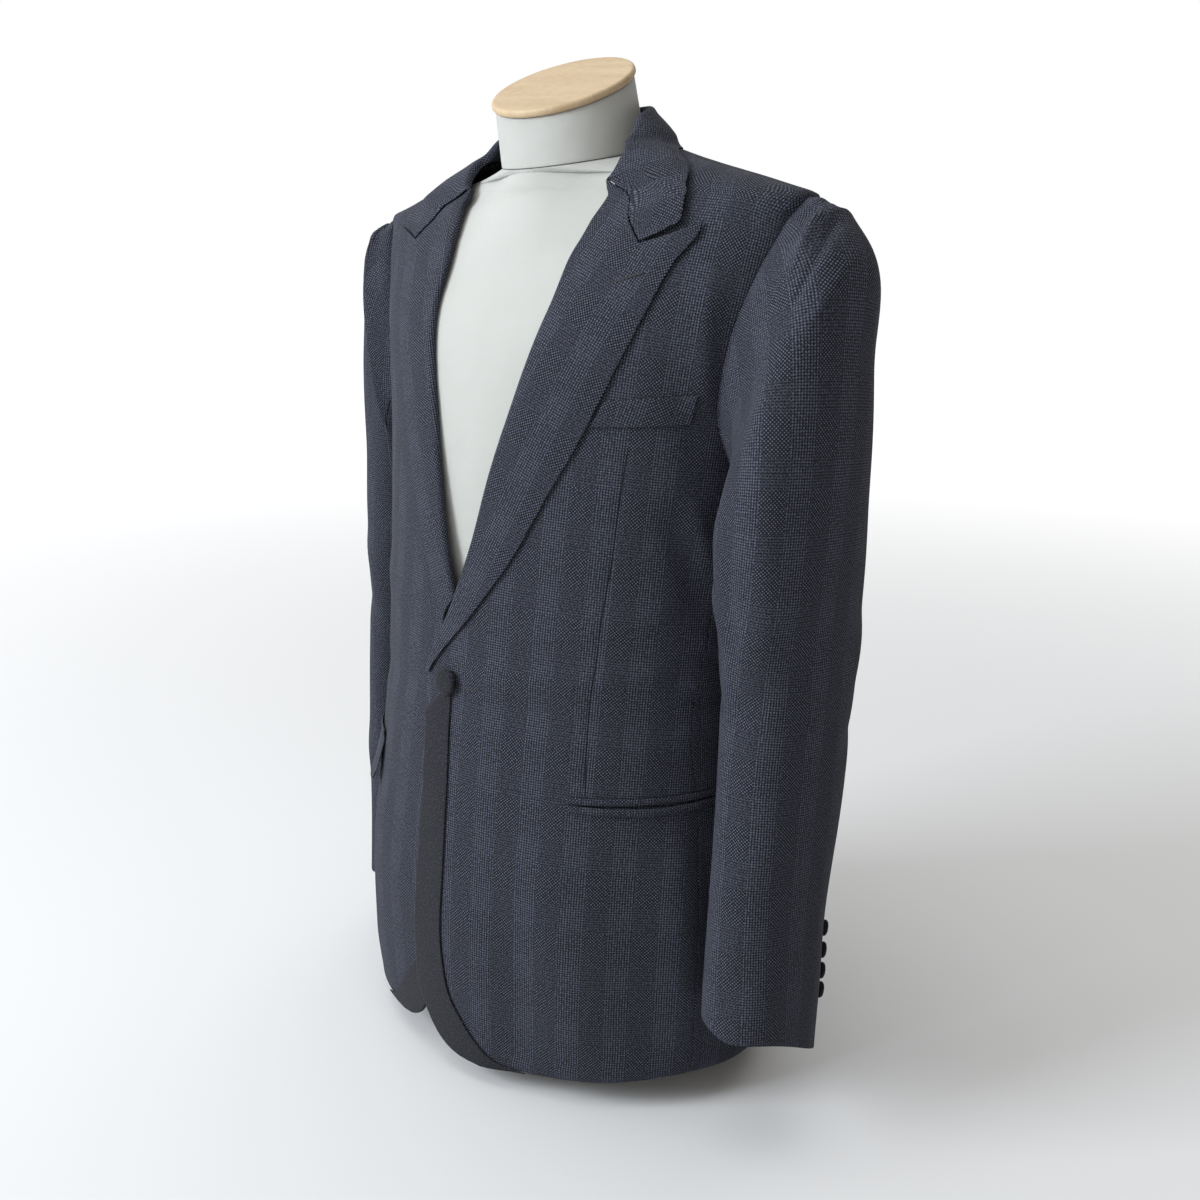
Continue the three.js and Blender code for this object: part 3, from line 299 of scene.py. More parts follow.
def grid_quads(rows, cols, first=0):
    """The quads of a grid of rows by cols points."""
    at = np.arange(rows * cols).reshape(rows, cols) + first
    return np.stack([at[:-1, :-1], at[:-1, 1:], at[1:, 1:], at[1:, :-1]], -1).reshape(-1, 4)


def ring_quads(at):
    """The quads between neighbouring rows of point numbers, each row being a closed ring."""
    ahead = np.roll(at, -1, axis=1)
    return np.stack([at[:-1], ahead[:-1], ahead[1:], at[1:]], -1).reshape(-1, 4)


def facing(face, side):
    """Unit normals of a grid: across it crossed with up it, on the given side."""
    return unit(np.cross(np.gradient(face, axis=1), np.gradient(face, axis=0))) * side


def make_mesh(name, points, quads, finish, uv=None, marks=None, tris=None):
    """An object at the origin from points in millimetres, four-cornered faces and some fans."""
    faces = quads.tolist() + ([] if tris is None else tris.tolist())
    mesh = bpy.data.meshes.new(name)
    mesh.from_pydata((points * MM).tolist(), [], faces)
    if uv is not None:
        corner = np.empty(len(mesh.loops), np.int32)
        mesh.loops.foreach_get("vertex_index", corner)
        layer = mesh.uv_layers.new(name="cut")
        layer.data.foreach_set("uv", (uv[corner] * CUT_SCALE).astype(np.float32).ravel())
    for key, values in (marks or {}).items():
        store = mesh.attributes.new(key, "FLOAT", "POINT")
        store.data.foreach_set("value", values.astype(np.float32).ravel())
    mesh.materials.append(finish)
    mesh.shade_smooth()
    piece = bpy.data.objects.new(name, mesh)
    bpy.context.scene.collection.objects.link(piece)
    return piece


def cloth(name, face, side, finish, thick=WALL, rolls=(.45, .45, .45, .45), uv=None, marks=None):
    """A sheet: the face, a lining face `thick` behind it, and a rim rolled between them. rolls
    is how far each side's rim rounds over: first row, last column, last row, first column."""
    rows, cols = face.shape[:2]
    normal = facing(face, side)
    row, col = border(rows, cols)
    rim = face[row, col]
    inner = face[np.clip(row, 1, rows - 2), np.clip(col, 1, cols - 2)]
    inward, down = unit(inner - rim), -normal[row, col]
    roll = np.r_[np.full(cols - 1, rolls[0]), np.full(rows - 1, rolls[1]),
                 np.full(cols - 1, rolls[2]), np.full(rows - 1, rolls[3])][:, None]
    outer, lining = face.copy(), face - normal * thick
    outer[row, col] = rim + inward * roll
    lining[row, col] = rim + inward * roll + down * thick
    turns = [(.29 * roll, .29 * roll), (0 * roll, roll), (0 * roll, thick - roll),
             (.29 * roll, thick - .29 * roll)]
    loops = [rim + inward * a + down * b for a, b in turns]
    points = np.concatenate([outer.reshape(-1, 3), lining.reshape(-1, 3), *loops])
    edge = row * cols + col
    count, total = len(edge), rows * cols
    chain = [edge, *[2 * total + k * count + np.arange(count) for k in range(4)], edge + total]
    ahead = np.roll(np.arange(count), -1)
    strips = [np.stack([a[ahead], a, b, b[ahead]], -1) for a, b in zip(chain, chain[1:])]
    quads = np.concatenate([grid_quads(rows, cols), grid_quads(rows, cols, total)[:, ::-1], *strips])
    if side < 0:
        quads = quads[:, ::-1]

    def spread(values):
        flat = values.reshape(rows * cols, -1)
        return np.concatenate([flat, flat, *[flat[edge]] * 4])
    uv = None if uv is None else spread(uv)
    marks = {key: spread(values)[:, 0] for key, values in (marks or {}).items()}
    return make_mesh(name, points, quads, finish, uv, marks)


def closed_rings(name, rings, finish, uv=None):
    """A solid of revolution or a loft: quads between rings, a fan to a middle point at each end.
    Rings run anticlockwise seen from the end that the last one faces. The flat cut, unless it is
    given, runs up the rings' mean distances and half the girth across, there and back."""
    rings = np.asarray(rings, float)
    count, size = rings.shape[:2]
    points = np.concatenate([rings.reshape(-1, 3), rings[[0, -1]].mean(axis=1)])
    at = np.arange(count * size).reshape(count, size)
    ahead = np.roll(at, -1, axis=1)
    low, high = np.full(size, count * size), np.full(size, count * size + 1)
    fans = np.concatenate([np.stack([low, ahead[0], at[0]], -1), np.stack([high, at[-1], ahead[-1]], -1)])
    if uv is None:
        step = np.linalg.norm(np.diff(rings, axis=0), axis=-1).mean(axis=1)
        girth = np.linalg.norm(rings - np.roll(rings, -1, axis=1), axis=-1).sum(axis=1).max()
        across = np.abs(np.linspace(-1, 1, size, endpoint=False)) * girth / 2
        uv = np.stack(np.broadcast_arrays(across, np.r_[0, np.cumsum(step)][:, None]), -1)
    uv = np.concatenate([uv.reshape(-1, 2), uv[[0, -1], 0]])
    return make_mesh(name, points, ring_quads(at), finish, uv, tris=fans)


def stands_for(piece, node):
    """The piece takes the place of a node."""
    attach(piece, "root")
    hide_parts(node)


# ---------------------------------------------------------------- flat cuts
COARSE_ROWS, COARSE_COLS, ROUNDS = 44, 24, 60


def lay_flat(face, grain, shift=(0, 0)):
    """The sheet laid flat, as rigidly as it goes. Every triangle of a coarser grid is turned to
    fit its neighbours best, then all the corners are placed at once so that the edges stay as
    near as they can to the turned triangles' own, and so on for some rounds. The cut is then
    turned until the grain, a column between two rows, runs straight up. Points between the
    coarse ones are read at their distance along the sheet."""
    rows, cols = face.shape[:2]
    r = np.unique(np.linspace(0, rows - 1, min(rows, COARSE_ROWS)).round().astype(int))
    c = np.unique(np.linspace(0, cols - 1, min(cols, COARSE_COLS)).round().astype(int))
    few = face[r][:, c]
    at = np.arange(len(r) * len(c)).reshape(len(r), len(c))
    a, b, d, e = at[:-1, :-1].ravel(), at[:-1, 1:].ravel(), at[1:, 1:].ravel(), at[1:, :-1].ravel()
    fans = np.concatenate([np.c_[a, b, d], np.c_[a, d, e], np.c_[a, b, e], np.c_[b, d, e]])
    corner = few.reshape(-1, 3)[fans]
    first, second = corner[:, 1] - corner[:, 0], corner[:, 2] - corner[:, 0]
    length = np.maximum(np.linalg.norm(first, axis=1), 1e-6)
    along = (first * second).sum(axis=1) / length
    aside = np.linalg.norm(np.cross(first, second), axis=1) / length
    own = np.stack([0 * along, length, along + 1j * np.maximum(aside, 1e-6)], axis=1)
    pull, weight = np.zeros((at.size, at.size)), []
    for k in range(3):
        i, j = (k + 1) % 3, (k + 2) % 3
        wedge = (own[:, i] - own[:, k]) * np.conj(own[:, j] - own[:, k])
        weight.append(np.clip(wedge.real / np.abs(wedge.imag), .02, 8))
        for m, n, sign in ((i, i, 1), (j, j, 1), (i, j, -1), (j, i, -1)):
            np.add.at(pull, (fans[:, m], fans[:, n]), sign * weight[k])
    pull[0, 0] += 1
    settle = np.linalg.inv(pull)
    middle = len(c) // 2
    wide = np.c_[np.zeros(len(r)), np.cumsum(np.linalg.norm(np.diff(few, axis=1), axis=-1), axis=1)]
    up = np.r_[0, np.cumsum(np.linalg.norm(np.diff(few[:, middle], axis=0), axis=-1))]
    flat = (wide - wide[:, middle:middle + 1] + 1j * up[:, None]).ravel()
    for _ in range(ROUNDS):
        spin = sum(w * (flat[fans[:, (k + 2) % 3]] - flat[fans[:, (k + 1) % 3]]) * np.conj(
            own[:, (k + 2) % 3] - own[:, (k + 1) % 3]) for k, w in enumerate(weight))
        spin = spin / np.maximum(np.abs(spin), 1e-9)
        ask = np.zeros(at.size, complex)
        for k, w in enumerate(weight):
            i, j = (k + 1) % 3, (k + 2) % 3
            edge = w * spin * (own[:, j] - own[:, i])
            np.add.at(ask, fans[:, j], edge)
            np.add.at(ask, fans[:, i], -edge)
        flat = settle @ ask
    flat = flat.reshape(at.shape)
    low, high, share = grain
    column = int(round(share * (len(c) - 1)))
    rise = flat[int(high * (len(r) - 1)), column] - flat[int(low * (len(r) - 1)), column]
    flat = flat * 1j / (rise / abs(rise))
    flat = flat - flat[0, column] + complex(*shift)
    flat = np.stack([flat.real, flat.imag], axis=-1)
    ring = flat[border(len(r), len(c))]
    area = abs(np.sum(ring[:, 0] * np.roll(ring[:, 1], -1) - np.roll(ring[:, 0], -1) * ring[:, 1])) / 2
    row_at = np.r_[0, np.cumsum(np.linalg.norm(np.diff(face, axis=0), axis=-1).mean(axis=1))]
    col_at = np.r_[0, np.cumsum(np.linalg.norm(np.diff(face, axis=1), axis=-1).mean(axis=0))]
    tall = through(row_at[r], flat, row_at)
    full = np.swapaxes(through(col_at[c], np.swapaxes(tall, 0, 1), col_at), 0, 1)
    return full, np.ptp(ring, axis=0) * MM, area * MM * MM


def sewn(name, face, side, finish, grain, held, rests_on, shift=(0, 0), slot="check_cloth", **more):
    """A sheet of cloth with its flat cut, put in place of the node of the same name."""
    uv, size, area = lay_flat(face, grain, shift)
    piece = cloth(name + "_cloth", face, side, finish, uv=uv, **more)
    stands_for(piece, name)


# ---------------------------------------------------------------- finishes
class Finish:
    """A material's nodes, one call each. Values may be numbers or other nodes' outputs."""

    def __init__(self, name, colour, roughness, **constants):
        self.material = bpy.data.materials.new(name)
        self.material.use_nodes = True
        self.tree = self.material.node_tree
        self.shader = self.tree.nodes["Principled BSDF"]
        self.shader.inputs["Base Color"].default_value = (*colour, 1)
        self.shader.inputs["Roughness"].default_value = roughness
        for key, value in constants.items():
            self.shader.inputs[key.replace("_", " ")].default_value = value

    def put(self, socket, value):
        """A link from another node's output, or a number; None leaves the socket alone."""
        if isinstance(value, bpy.types.NodeSocket):
            self.tree.links.new(value, socket)
        elif value is not None:
            socket.default_value = value

    def node(self, kind, values=(), **settings):
        """A node of a kind with its settings and its sockets' values."""
        made = self.tree.nodes.new("ShaderNode" + kind)
        for key, value in settings.items():
            setattr(made, key, value)
        for key, value in dict(values).items():
            self.put(made.inputs[key], value)
        return made

    def reckon(self, operation, a, b=None, c=None):
        """One step of arithmetic. The short names below stand for the steps used most."""
        made = self.node("Math", operation=operation)
        for socket, value in zip(made.inputs, (a, b, c)):
            self.put(socket, value)
        return made.outputs[0]

    def times(self, a, b):
        return self.reckon("MULTIPLY", a, b)

    def plus(self, a, b):
        return self.reckon("ADD", a, b)

    def minus(self, a, b):
        return self.reckon("SUBTRACT", a, b)

    def most(self, a, b):
        return self.reckon("MAXIMUM", a, b)

    def line(self, a, b, c):
        """a times b plus c."""
        return self.reckon("MULTIPLY_ADD", a, b, c)

    def zigzag(self, a, top):
        """Up to the top and down to 0 by turns."""
        return self.reckon("PINGPONG", a, top)

    def fade(self, value, start, end, low=0.0, high=1.0):
        """Smoothly from low at start to high at end."""
        span = {"Value": value, "From Min": start, "From Max": end, "To Min": low, "To Max": high}
        return self.node("MapRange", span, interpolation_type="SMOOTHSTEP").outputs["Result"]

    def noise(self, where, scale, detail=2.0, roughness=.5):
        grain = {"Vector": where, "Scale": scale, "Detail": detail, "Roughness": roughness}
        return self.node("TexNoise", grain).outputs[0]

    def tint(self, share, low, high):
        """A blend of two colours."""
        made = self.node("Mix", data_type="RGBA")
        self.put(made.inputs[0], share)
        for socket, colour in ((6, low), (7, high)):
            self.put(made.inputs[socket], (*colour, 1) if isinstance(colour, tuple) else colour)
        return made.outputs[2]

    def bump(self, height, strength, distance, before=None):
        relief = {"Height": height, "Strength": strength, "Distance": distance, "Normal": before}
        return self.node("Bump", relief).outputs[0]

    def cut_place(self):
        """Across and up the flat cut, in millimetres."""
        across, up, _ = self.node("SeparateXYZ", {0: self.node("TexCoord").outputs["UV"]}).outputs
        return self.times(across, 1 / CUT_SCALE), self.times(up, 1 / CUT_SCALE)

    def mark(self, name):
        """A number kept at the points of the piece."""
        return self.node("Attribute", attribute_name=name, attribute_type="GEOMETRY").outputs["Fac"]


BAND_APART, CROSS_BAND_APART = 39.0, 50.0


def check_worsted():
    """Fine worsted with a small check. Pale pin dots stand 2 mm apart in bands up the cloth; in
    bands across it they run together into broken lines; a birdseye weave fills between."""
    f = Finish("check_worsted", (.018, .02, .027), .92, Sheen_Weight=.02, Sheen_Roughness=.6,
               Specular_IOR_Level=.12)
    where = f.node("TexCoord").outputs["UV"]
    across, up = f.cut_place()
    wander = f.times(f.minus(f.noise(where, 7.0), .5), .9)
    across, up = f.plus(across, wander), f.minus(up, wander)

    def yarn(value, pitch, full, none):
        return f.fade(f.zigzag(value, pitch / 2), none, full)
    lines_up, lines_across = yarn(across, 2.1, .3, .7), yarn(up, 2.0, .28, .7)
    dots = f.times(lines_up, f.line(lines_across, .8, .2))
    dashes = f.times(lines_across, f.line(lines_up, .55, .45))
    birdseye = f.times(yarn(f.plus(across, up), 2.7, .35, 1.05),
                       yarn(f.minus(across, up), 2.7, .35, 1.05))
    band_up = f.fade(f.zigzag(f.plus(across, 7.0), BAND_APART / 2), 11.5, 8.5)
    band_across = f.fade(f.zigzag(f.plus(up, 4.0), CROSS_BAND_APART / 2), 12.5, 9.0)
    between = f.minus(1.0, f.most(band_up, f.times(band_across, .75)))
    pale = f.most(f.times(dots, band_up), f.times(dashes, f.times(band_across, .5)))
    pale = f.most(pale, f.times(birdseye, f.line(between, .72, .3)))
    fleck = f.noise(where, 52.0, 2.0)
    pale = f.times(pale, f.fade(fleck, .3, .7, .35, 1.35))
    broad = f.noise(where, 1.3, 3.0)
    ground = f.tint(broad, (.0052, .0056, .0078), (.0088, .0094, .013))
    colour = f.tint(pale, ground, (.098, .105, .142))
    # Painted shade: along the dart's stitched line the cloth colour is darkened to near black, as if shaded
    # in the seam's groove; the same mask also cuts that groove into the bump.
    seam = f.fade(f.reckon("ABSOLUTE", f.minus(f.mark("stitched"), DART_MARK)), .75, .25)
    colour = f.tint(f.times(seam, .85), colour, (.003, .003, .004))
    f.put(f.shader.inputs["Base Color"], colour)
    height = f.plus(f.times(pale, .6), f.times(fleck, .6))
    height = f.minus(height, f.times(seam, 3.0))
    f.put(f.shader.inputs["Normal"], f.bump(height, .5, .00018, f.bump(f.noise(where, 5.0, 2.0), .22, .002)))
    return f.material


def plain_worsted():
    """Plain close cloth of the bands and buttons: two yarns' weave with pale flecks."""
    f = Finish("plain_worsted", (.02, .019, .021), .92, Sheen_Weight=.05, Sheen_Roughness=.6,
               Specular_IOR_Level=.15)
    where = f.node("TexCoord").outputs["UV"]
    across, up = f.cut_place()
    weave = f.times(f.fade(f.zigzag(across, .45), .05, .4), f.fade(f.zigzag(up, .45), .05, .4))
    fleck = f.fade(f.noise(where, 70.0, 2.0), .48, .74)
    colour = f.tint(f.noise(where, 3.0), (.0045, .0048, .0068), (.008, .0085, .0115))
    colour = f.tint(f.most(f.times(weave, .2), f.times(fleck, .5)), colour, (.075, .078, .098))
    f.put(f.shader.inputs["Base Color"], colour)
    f.put(f.shader.inputs["Normal"], f.bump(f.plus(weave, fleck), .5, .00015))
    return f.material


def cover_linen():
    """Off-white linen drawn over the form: plain weave with thick and thin yarns."""
    f = Finish("cover_linen", (.39, .39, .365), .88, Sheen_Weight=.1, Specular_IOR_Level=.25)
    where = f.node("TexCoord").outputs["UV"]
    across, up = f.cut_place()
    slub = f.times(f.noise(where, 18.0), 1.2)
    a = f.fade(f.zigzag(f.plus(across, slub), .5), .05, .45)
    b = f.fade(f.zigzag(f.plus(up, slub), .5), .05, .45)
    weave = f.times(a, b)
    colour = f.tint(f.noise(where, 2.2, 4.0), (.365, .365, .34), (.41, .415, .395))
    colour = f.tint(f.times(weave, .18), colour, (.29, .28, .255))
    f.put(f.shader.inputs["Base Color"], colour)
    soft = f.bump(f.noise(where, 1.6, 3.0), .35, .006)
    f.put(f.shader.inputs["Normal"], f.bump(weave, .35, .0002, soft))
    return f.material


def wood(name, pale, dark, gloss, stretch):
    """Planed wood: broad streaks and fine pores, both drawn out along the grain."""
    f = Finish(name, pale, gloss, Specular_IOR_Level=.4)
    where = f.node("TexCoord").outputs["Object"]
    drawn = f.node("Mapping", {"Vector": where, "Location": (.3, .1, .2), "Scale": stretch}).outputs[0]
    ring = f.noise(drawn, 9.0, 4.0)
    pores = f.noise(f.node("Mapping", {"Vector": drawn, "Scale": (14.0, 14.0, 14.0)}).outputs[0], 9.0, 3.0)
    grain = f.plus(f.times(ring, .55), f.times(pores, .45))
    f.put(f.shader.inputs["Base Color"], f.tint(f.fade(grain, .35, .7), pale, dark))
    f.put(f.shader.inputs["Roughness"], f.fade(pores, 0.0, 1.0, gloss - .06, gloss + .12))
    f.put(f.shader.inputs["Normal"], f.bump(grain, .15, .0003))
    return f.material


def thread():
    """Dark twisted buttonhole thread, a little glossier than the cloth."""
    f = Finish("buttonhole_thread", (.012, .012, .015), .6, Specular_IOR_Level=.4)
    where = f.node("TexCoord").outputs["Object"]
    twist = f.noise(where, 2600.0, 1.0)
    f.put(f.shader.inputs["Base Color"], f.tint(twist, (.008, .008, .01), (.03, .031, .037)))
    f.put(f.shader.inputs["Normal"], f.bump(twist, .5, .0002))
    return f.material


WORSTED, PLAIN, LINEN, THREAD = check_worsted(), plain_worsted(), cover_linen(), thread()
PALE_WOOD = wood("pale_wood", (.46, .35, .215), (.385, .27, .155), .5, (1.0, 9.0, 1.0))
BROWN_WOOD = wood("brown_wood", (.2, .09, .035), (.11, .045, .018), .38, (9.0, 1.0, 1.0))


# ---------------------------------------------------------------- maps of the body pieces
def front_map(table):
    """Turn and height at a share across a row: straight between the row's two edges."""
    def place(share, row):
        turn = mix(row_value(table[0], row), row_value(table[2], row), share)
        return turn, mix(row_value(table[1], row), row_value(table[3], row), share)
    return place


def side_map(share, row):
    """From the front's side seam to the back's, dipping under the arm as a half sine."""
    dip = ARMPIT_DIP * np.sin(np.pi * share) * (row / ARMHOLE_ROW) ** 6
    turn = mix(row_value(LEFT_FRONT[2], row), row_value(BACK[0], row), share)
    return turn, mix(row_value(LEFT_FRONT[3], row), row_value(BACK[1], row), share) - dip


def back_map(share, row):
    """From the side seam to the middle, the top rows pulled onto the shoulder seam and neck."""
    end_turn, end_z, middle_z = BACK[:, -1]
    neck_z = LEFT_FRONT[1, -1]
    along, round_neck = share / .6, (share - .6) / .4
    top_turn = np.where(along < 1, mix(end_turn, 90, along), mix(90, 180, round_neck))
    top_z = np.where(along < 1, mix(end_z, neck_z, along), mix(neck_z, middle_z, round_neck))
    pull = np.clip((row - ARMHOLE_ROW) / (SHOULDER_ROW - ARMHOLE_ROW), 0, 1) ** 1.7
    turn = mix(row_value(BACK[0], row), 180, share) + pull * (top_turn - mix(end_turn, 180, share))
    z = mix(row_value(BACK[1], row), row_value(BACK[2], row), share)
    return turn, z + pull * (top_z - mix(end_z, middle_z, share))


left_map, right_map = front_map(LEFT_FRONT), front_map(RIGHT_FRONT)


def rows_by_height(low, high, step):
    """Rows whose middles are evenly spaced in height, three times as close at the hip pockets."""
    spine = np.linspace(low, high, 1200)
    height = mix(row_value(LEFT_FRONT[1], spine), row_value(LEFT_FRONT[3], spine), .5)
    pace = 1 + 2.2 * bell(height - 246, 12)
    travelled = np.r_[0, np.cumsum(np.abs(np.diff(height)) * (pace[1:] + pace[:-1]) / 2)]
    travelled += np.arange(len(spine)) * .02
    return np.interp(np.linspace(0, travelled[-1], int(travelled[-1] / step) + 1), travelled, spine)


SEAM_GAP = .15


def between(share, width):
    """A share pulled in at both ends by half a seam's clearance."""
    return mix(SEAM_GAP / width, 1 - SEAM_GAP / width, share)


def front_panel(side, word, place, lap):
    """A front: rows from hem to shoulder, its inner edge drawn back under the lapel's roll."""
    rows = rows_by_height(.006, SHOULDER_ROW - .006, 4.4)[:, None]
    shares = np.unique(np.r_[np.linspace(0, 1, 84), np.linspace(.48, .64, 31)])[None, :]
    back = .0008 + .006 * ease((rows - BREAK_ROW) / .8) * ease((GORGE_ROW + .4 - rows) / .6)
    share = mix(back, 1 - SEAM_GAP / 200, shares)
    turn, z = place(share, rows)
    face = on_body(side * turn, z, lap(turn, z))
    marks = {"stitched": DART_MARK + dart_distance(side * turn, z, side)}
    sewn(f"front_{word}", face, side, WORSTED, (.1, .55, .35), "hung", ["form_torso_cover"],
         shift=(8 * side, 0), rolls=(.95, .4, .4, .95), marks=marks)


# ---------------------------------------------------------------- the dress form
FORM_GAP = np.array([(46, 22), (100, 20), (330, 14), (400, 10), (500, 3.5), (560, 1.5), (610, 1.9),
                     (650, 3), (680, 3.8), (697, 4.5), (720, 5), (750, 6)], float).T
NECK_FOOT, NECK_TOP = np.array([0, -8, 734.0 + HEM_LIFT]), np.array([-6.6, -13.3, 784.5 + HEM_LIFT])
FOOT_FACING, TOP_FACING = unit(np.array([-.03, -.2, 1.0])), unit(np.array([.054, -.482, 1.0]))
NECK_RADIUS, NECK_TAPER, CAP_RADIUS, CAP_HEIGHT = 58, 1.6, 58.5, 6
TORSO_BOTTOM, THROAT_FILL = 46, 19
FACETS = 128
ROUND = np.arange(FACETS) * 360 / FACETS


def neck_ring(radius, share, lift=0.0):
    """A circle round the neck at a share of its length; its slant steepens to the top."""
    facing = unit(mix(FOOT_FACING, TOP_FACING, share))
    along = unit(np.cross([1.0, 0, 0], facing))
    across = -np.cross(facing, along)
    turn = np.radians(ROUND)[:, None]
    centre = mix(NECK_FOOT, NECK_TOP, share) + facing * lift
    return centre - across * radius * np.sin(turn) + along * radius * np.cos(turn)


def form_ring(z):
    """A ring just inside the jacket's lining, fuller below the throat, narrower at the ends of
    the shoulders."""
    aside = np.where(ROUND > 180, ROUND - 360, ROUND) / 14
    throat = THROAT_FILL * np.exp(-aside * aside) * ease((z - 640) / 70)
    points = smooth_body(ROUND, z, throat - WALL - through(FORM_GAP[0], FORM_GAP[1], z))
    points[:, 0] *= mix(1, .955, ease((z - 650) / 40))
    return points


def torso():
    """From a flat bottom with a rounded edge up through the level rings, in over the shoulders
    to the seam ring of the neck, and closed beneath the neck."""
    low = form_ring(np.full(FACETS, float(TORSO_BOTTOM)))
    low[:, 2] = TORSO_BOTTOM + HEM_LIFT
    middle = low.mean(axis=0)
    rings = [mix(middle, low, s) for s in (.02, .4, .8, .95)]
    rings += [mix(middle, low, .985) + (0, 0, .3), mix(middle, low, .998) + (0, 0, 1.6)]
    rings += [form_ring(np.full(FACETS, z)) for z in np.linspace(50, 668, 64)]
    seam_z = 732 - 11 * np.cos(np.radians(ROUND)) - 2
    rings += [form_ring(mix(684, seam_z, s)) for s in np.linspace(.02, 1, 22)]
    last, seam = rings[-1], neck_ring(NECK_RADIUS, 0, -.5)
    rings += [mix(last, seam, s) - (0, 0, 1.5 * math.sin(math.pi * s)) for s in (.25, .5, .75, .93)]
    inside = [(NECK_RADIUS - 1.1, -.35), (NECK_RADIUS - 3, -.35), (4, -.35)]
    rings += [seam] + [neck_ring(radius, 0, lift) for radius, lift in inside]
    return closed_rings("form_torso_cover", rings, LINEN)


def neck():
    """A tapering wall between two small rounded edges; a ring is radius, share and lift."""
    r = NECK_RADIUS
    foot_edge = [(4, 0, .15), (r - 3, 0, .15), (r - 1, 0, .15), (r - .25, 0, .45)]
    wall = [(r - NECK_TAPER * s, s, 0) for s in np.linspace(.025, .975, 20)]
    top = r - NECK_TAPER
    top_edge = [(top - .25, 1, -.4), (top - .9, 1, 0), (top - 4, 1, 0), (4, 1, 0)]
    rings = [neck_ring(*ring) for ring in foot_edge + wall + top_edge]
    return closed_rings("form_neck_cover", rings, LINEN)


def cap():
    """A flat disc on the neck's slanted top, its upper edge a quarter of an oval."""
    r = CAP_RADIUS
    profile = [(4, 0), (r - 5, 0), (r - 1.7, 0), (r - .7, .5), (r, 1.6), (r, 2.8)]
    profile += [(r - 2.6 * (1 - math.cos(a)), 3.2 + (CAP_HEIGHT - 3.2) * math.sin(a))
                for a in np.linspace(.1, 1.57, 9)]
    profile += [(r - 5, CAP_HEIGHT), (30, CAP_HEIGHT), (4, CAP_HEIGHT)]
    return closed_rings("wooden_cap", [neck_ring(r, 1, .3 + h) for r, h in profile], PALE_WOOD)


def turned(name, profile):
    """A turned piece about the upright axis from a profile of radius and height."""
    spin = np.radians(ROUND)
    rings = [stack(r * np.sin(spin), -r * np.cos(spin), h) for r, h in profile]
    return closed_rings(name, rings, BROWN_WOOD)


POLE = [(3, 11.3), (15.6, 11.3), (16, 11.8), (16, 35), (16, 58), (15.6, 59.6), (3, 59.7)]
FOOT = [(4, 0), (100, 0), (120.6, 0), (122, 1.2), (122, 8.4), (121.5, 9.7), (120.2, 10.7), (118, 11),
        (60, 11), (4, 11)]
stands_for(torso(), "form_torso")
stands_for(neck(), "form_neck")
stands_for(cap(), "neck_cap")
stands_for(turned("turned_pole", POLE), "pole")
stands_for(turned("turned_foot", FOOT), "foot")

# ---------------------------------------------------------------- body panels
front_panel(1, "left", left_map, lap_out)
front_panel(-1, "right", right_map, no_lap)

for side, word in ((1, "left"), (-1, "right")):
    rows = rows_by_height(.006, ARMHOLE_ROW - .006, 5)[:, None]
    turn, z = side_map(between(np.linspace(0, 1, 44)[None, :], 110), rows)
    sewn(f"side_{word}", on_body(side * turn, z, 0), side, WORSTED, (.1, .9, .5), "hung",
         ["form_torso_cover"], rolls=(.95, .4, .4, .4))
    rows = rows_by_height(.006, SHOULDER_ROW - .006, 4.6)[:, None]
    turn, z = back_map(between(np.linspace(0, 1, 96)[None, :], 200), rows)
    sewn(f"back_{word}", on_body(side * turn, z, 0), side, WORSTED, (.05, .8, 1), "hung",
         ["form_torso_cover"], rolls=(.95, .4, .4, .4))


# ---------------------------------------------------------------- lapels and bands
def rolled_edge(face, under, strip, normal, columns=7):
    """The face with its first column rolled over half a circle to a depth `under` below the
    column, and then drawn `strip` back beneath: centre + r (cos a N + sin a T)."""
    first = face[:, 0]
    away = unit(first - face[:, 1])
    radius = (under / 2)[:, None]
    centre = first - normal * radius
    angle = np.linspace(math.pi, 0, columns + 1)[:-1]
    arc = [centre + radius * (math.cos(a) * normal + math.sin(a) * away) for a in angle]
    tails = [arc[0] - away * (strip[:, None] * s) for s in (1, .5)]
    return np.concatenate([np.stack(tails + arc, axis=1), face], axis=1)


def lapel_place(place, share, row):
    """The front's own rows narrowed to the lapel's width. The top row is bent at the notch, and
    its corner at the roll runs on a little under the collar's end."""
    turn, z = place(share * row_value(LEFT_FRONT[5], row), row)
    pull = np.clip((row - 13) / 3, 0, 1) ** 2
    start = place(0.0, float(GORGE_ROW))
    end = place(row_value(LEFT_FRONT[5], float(GORGE_ROW)), float(GORGE_ROW))
    roll = (LEFT_FRONT[0, GORGE_ROW], LEFT_FRONT[1, GORGE_ROW])
    top_turn, top_z = (np.interp(share, END_SHARES, corner) for corner in zip(roll, GORGE, NOTCH, PEAK))
    turn = turn + pull * (top_turn - mix(start[0], end[0], share))
    z = z + pull * (top_z - mix(start[1], end[1], share))
    z = z + 3 * pull ** 4 * (1 - share) ** 8
    return turn, z


